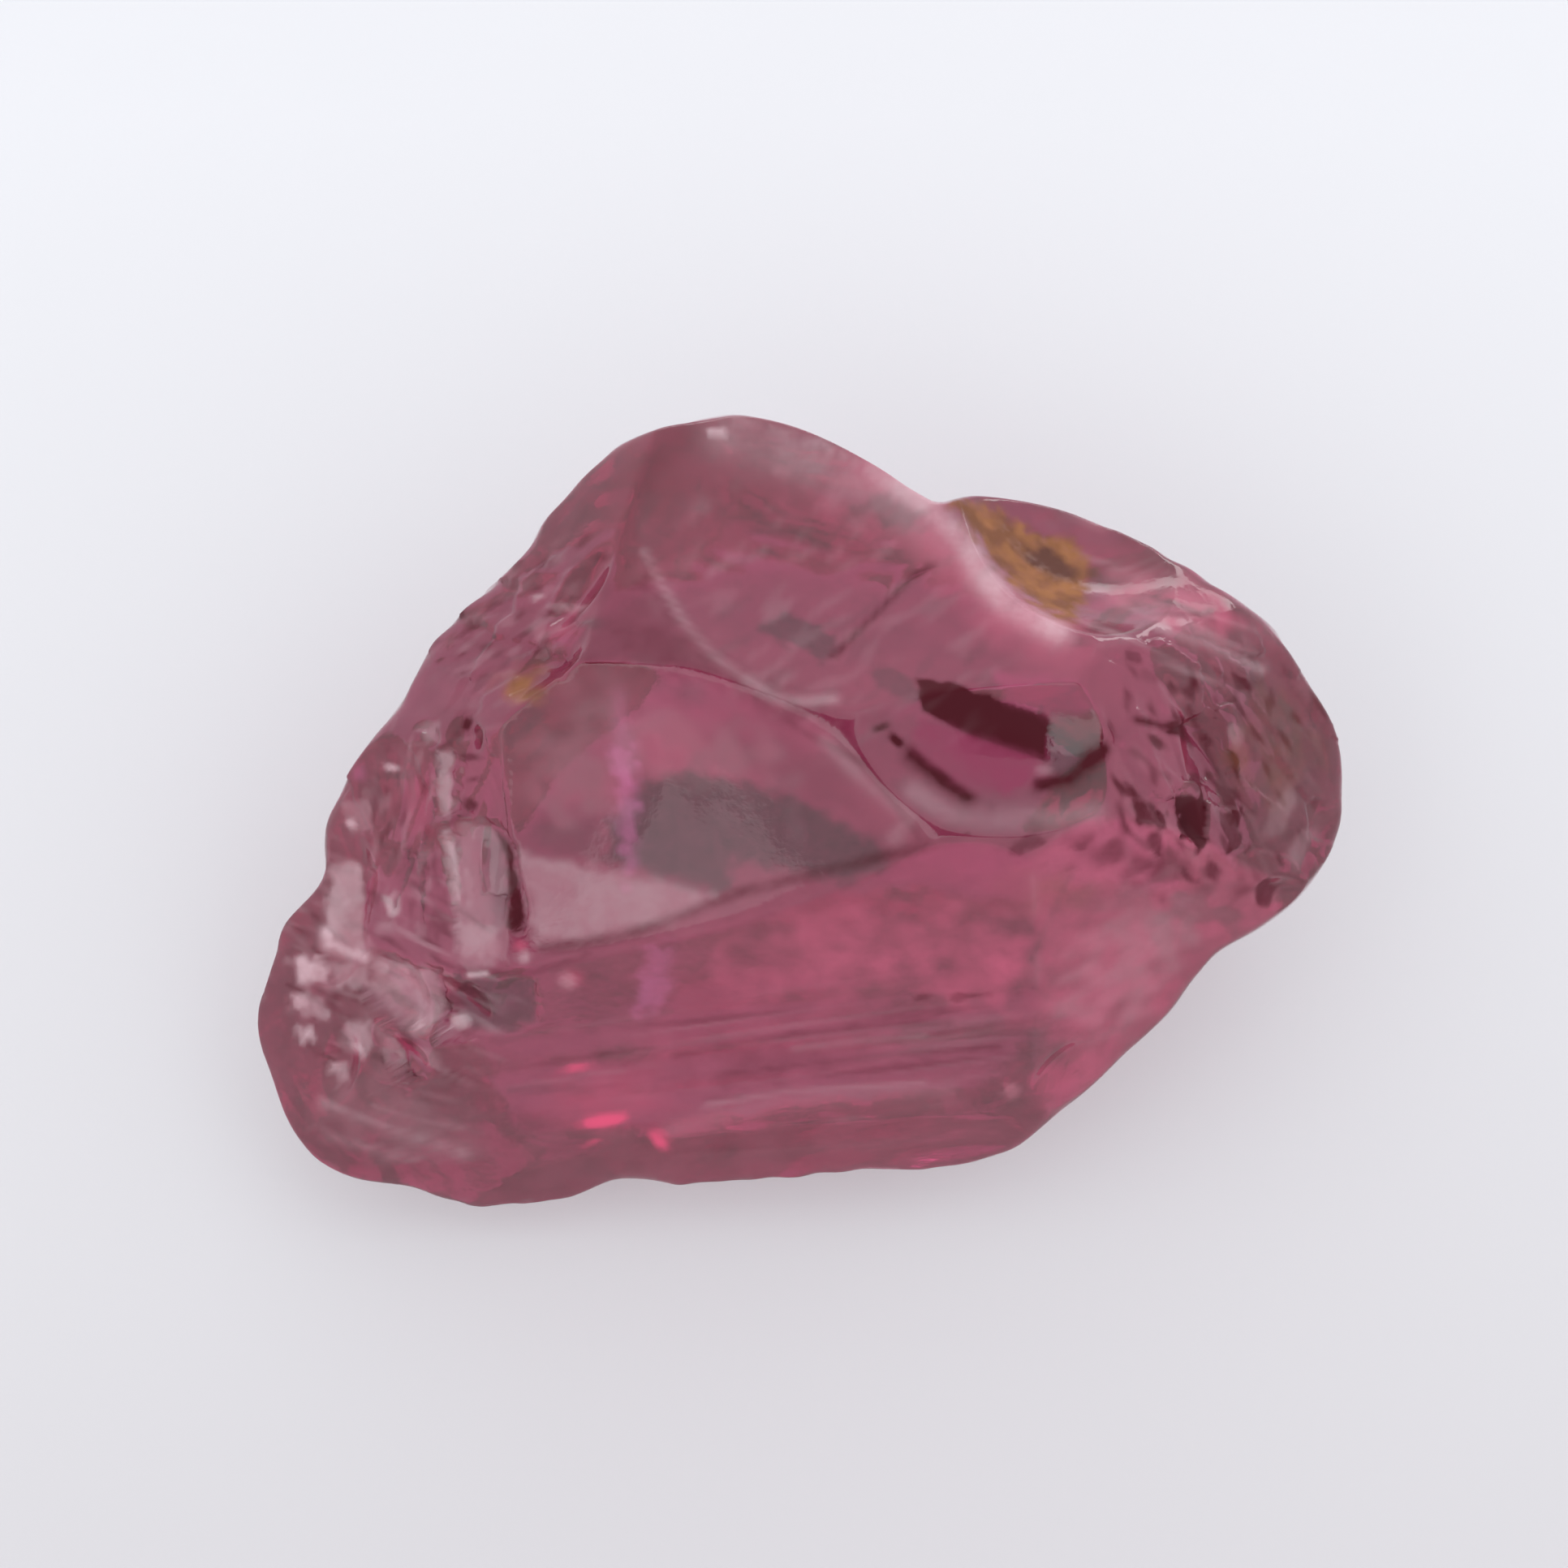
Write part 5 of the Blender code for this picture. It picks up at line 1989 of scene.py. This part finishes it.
@dataclass(frozen=True)
class PaperFinish:
    """A plain sheet of paper that glows with painted light, though it is no lamp.

    The glow passes from the near colour to the far one over the fade, in metres.
    """

    name: str
    colour: Colour
    near_painted_glow: Colour
    far_painted_glow: Colour
    fade: float = 0.020
    roughness: float = 0.9

    def make(self) -> bpy.types.Material:
        """Makes the material.

        Returns:
            The material.
        """
        bench = Bench(self.name)
        spot = bench.add("ShaderNodeTexCoord", {}, {}, OBJECT_COORDINATES)
        depth = bench.add("ShaderNodeSeparateXYZ", {}, {"Vector": spot}, DEPTH)
        far = (depth / self.fade + 0.5).clamped()
        sheet = bench.add(
            "ShaderNodeBsdfPrincipled",
            {},
            {
                "Base Color": opaque(self.colour),
                "Roughness": self.roughness,
                "Emission Color": bench.mix(far, opaque(self.near_painted_glow), opaque(self.far_painted_glow)),
                "Emission Strength": 1.0,
            },
        )
        bench.add("ShaderNodeOutputMaterial", {}, {"Surface": sheet})
        return bench.material


class Corner(Enum):
    """Where a lamp or a card stands, as azimuth and elevation in degrees seen from the stone."""

    BEHIND_CAMERA = (0.0, 78.0)
    BACK = (165.0, 7.0)
    LEFT_FRONT = (318.0, 58.0)

    def direction(self) -> Vector:
        """Points from the stone to the corner.

        Returns:
            The direction, one metre long.
        """
        azimuth, elevation = (radians(angle) for angle in self.value)
        return Vector(
            (
                sin(azimuth) * cos(elevation),
                -cos(azimuth) * cos(elevation),
                sin(elevation),
            )
        )


@dataclass(frozen=True)
class Lamp:
    """A soft lamp that faces the stone, as wide and high as its size says."""

    name: str
    corner: Corner
    distance: float
    size: Place
    power: float

    def build(self) -> None:
        """Hangs the lamp."""
        lamp = bpy.data.lights.new(self.name, "AREA")
        lamp.shape = "RECTANGLE"
        lamp.size, lamp.size_y = self.size
        lamp.energy = self.power
        holder = bpy.data.objects.new(self.name, lamp)
        holder.location = self.corner.direction() * self.distance
        holder.rotation_mode = "QUATERNION"
        holder.rotation_quaternion = self.corner.direction().to_track_quat("Z", "Y")
        bpy.context.scene.collection.objects.link(holder)


@dataclass(frozen=True)
class Studio:
    """A pale floor with a painted glow under a soft white dome, with a lamp, a dark card and the
    camera.
    """

    view: View
    sky: Colour = (0.96, 0.97, 1.0)
    sky_strength: float = 0.95
    floor_colour: Colour = (0.62, 0.62, 0.635)
    # The floor glows with painted light that fills the stone's shadow and grows brighter behind it
    floor_near_painted_glow: Colour = (0.185, 0.168, 0.178)
    floor_far_painted_glow: Colour = (0.330, 0.336, 0.360)
    floor_size: float = 1.0
    floor_gap: float = 0.02
    card_colour: Colour = (0.02, 0.02, 0.022)
    card_distance: float = 0.13
    card_size: Place = (0.070, 0.050)
    card_glow: Colour = (0.08, 0.08, 0.08)
    lamps: tuple[Lamp, ...] = (
        Lamp("window", Corner.BACK, 0.30, (0.50, 0.05), 0.25),
        Lamp("softbox", Corner.LEFT_FRONT, 0.30, (0.14, 0.14), 0.04),
    )

    def sheet(self, name: str, finish: PaperFinish, size: Place) -> bpy.types.Object:
        """Makes a flat staging sheet at the origin.

        Args:
            name: The sheet's name.
            finish: What it is made of.
            size: How wide and how deep it is.

        Returns:
            The sheet.
        """
        shape = bmesh.new()
        bmesh.ops.create_grid(shape, x_segments=1, y_segments=1, size=0.5)
        bmesh.ops.scale(shape, verts=shape.verts, vec=(*size, 1.0))
        mesh = bpy.data.meshes.new(name)
        shape.to_mesh(mesh)
        shape.free()
        mesh.materials.append(finish.make())
        thing = bpy.data.objects.new(name, mesh)
        bpy.context.scene.collection.objects.link(thing)
        thing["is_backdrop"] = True
        return thing

    def build(self, placement: Placement) -> None:
        """Sets up the floor, the light and the camera.

        Args:
            placement: Where the viewer's frame lies in the room.
        """
        floor_finish = PaperFinish(
            "pale_paper", self.floor_colour, self.floor_near_painted_glow, self.floor_far_painted_glow
        )
        floor = self.sheet("floor", floor_finish, (self.floor_size, self.floor_size))
        floor.location.z = -self.floor_gap * MM
        card_finish = PaperFinish("dark_paper", self.card_colour, self.card_glow, self.card_glow)
        card = self.sheet("dark_card", card_finish, self.card_size)
        card.location = Corner.BEHIND_CAMERA.direction() * self.card_distance
        card.rotation_mode = "QUATERNION"
        card.rotation_quaternion = Corner.BEHIND_CAMERA.direction().to_track_quat("Z", "Y")
        for lamp in self.lamps:
            lamp.build()
        self.build_sky()
        self.build_camera(placement)

    def build_sky(self) -> None:
        """Lights the room evenly from all sides."""
        world = bpy.data.worlds.new("white_dome")
        world.use_nodes = True
        background = world.node_tree.nodes["Background"]
        background.inputs["Color"].default_value = opaque(self.sky)
        background.inputs["Strength"].default_value = self.sky_strength
        bpy.context.scene.world = world

    def build_camera(self, placement: Placement) -> None:
        """Puts the camera where the viewer looks from.

        Args:
            placement: Where the viewer's frame lies in the room.
        """
        lens = bpy.data.cameras.new("camera")
        lens.lens = self.view.lens
        lens.sensor_width = self.view.sensor
        lens.clip_start, lens.clip_end = self.view.clip
        camera = bpy.data.objects.new("camera", lens)
        away = self.view.frame_width * self.view.lens / self.view.sensor
        camera.location = placement.room_point((*self.view.aim, away))
        camera.rotation_euler = placement.turn.to_euler()
        bpy.context.scene.collection.objects.link(camera)
        bpy.context.scene.camera = camera


def corners(box: tuple[Vector, Vector]) -> list[list[float]]:
    """The lowest and highest corner of a box as plain lists."""
    return [list(corner) for corner in box]


def main() -> None:
    """Builds the stone and the studio."""
    logging.basicConfig(level=logging.INFO, format="%(name)s: %(message)s")
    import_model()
    solid_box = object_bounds()
    view = View()
    stone, placement = Stone(view).build("rough_garnet", (solid_box[0] + solid_box[1]) / 2)
    stone.data.materials.append(GarnetFinish().make())
    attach(stone, "root")
    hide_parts("garnet")
    LOG.info("rough garnet: %d triangles", len(stone.data.polygons))
    Studio(view).build(placement)
    LOG.info("studio: floor, card, lamps and camera")
    scene = bpy.context.scene
    scene.view_settings.view_transform = "Standard"
    scene.cycles.denoising_input_passes = "RGB"
    scene.cycles.max_bounces = LIGHT_BOUNCES
    scene.cycles.transmission_bounces = GLASS_BOUNCES


if __name__ == "__main__":
    main()
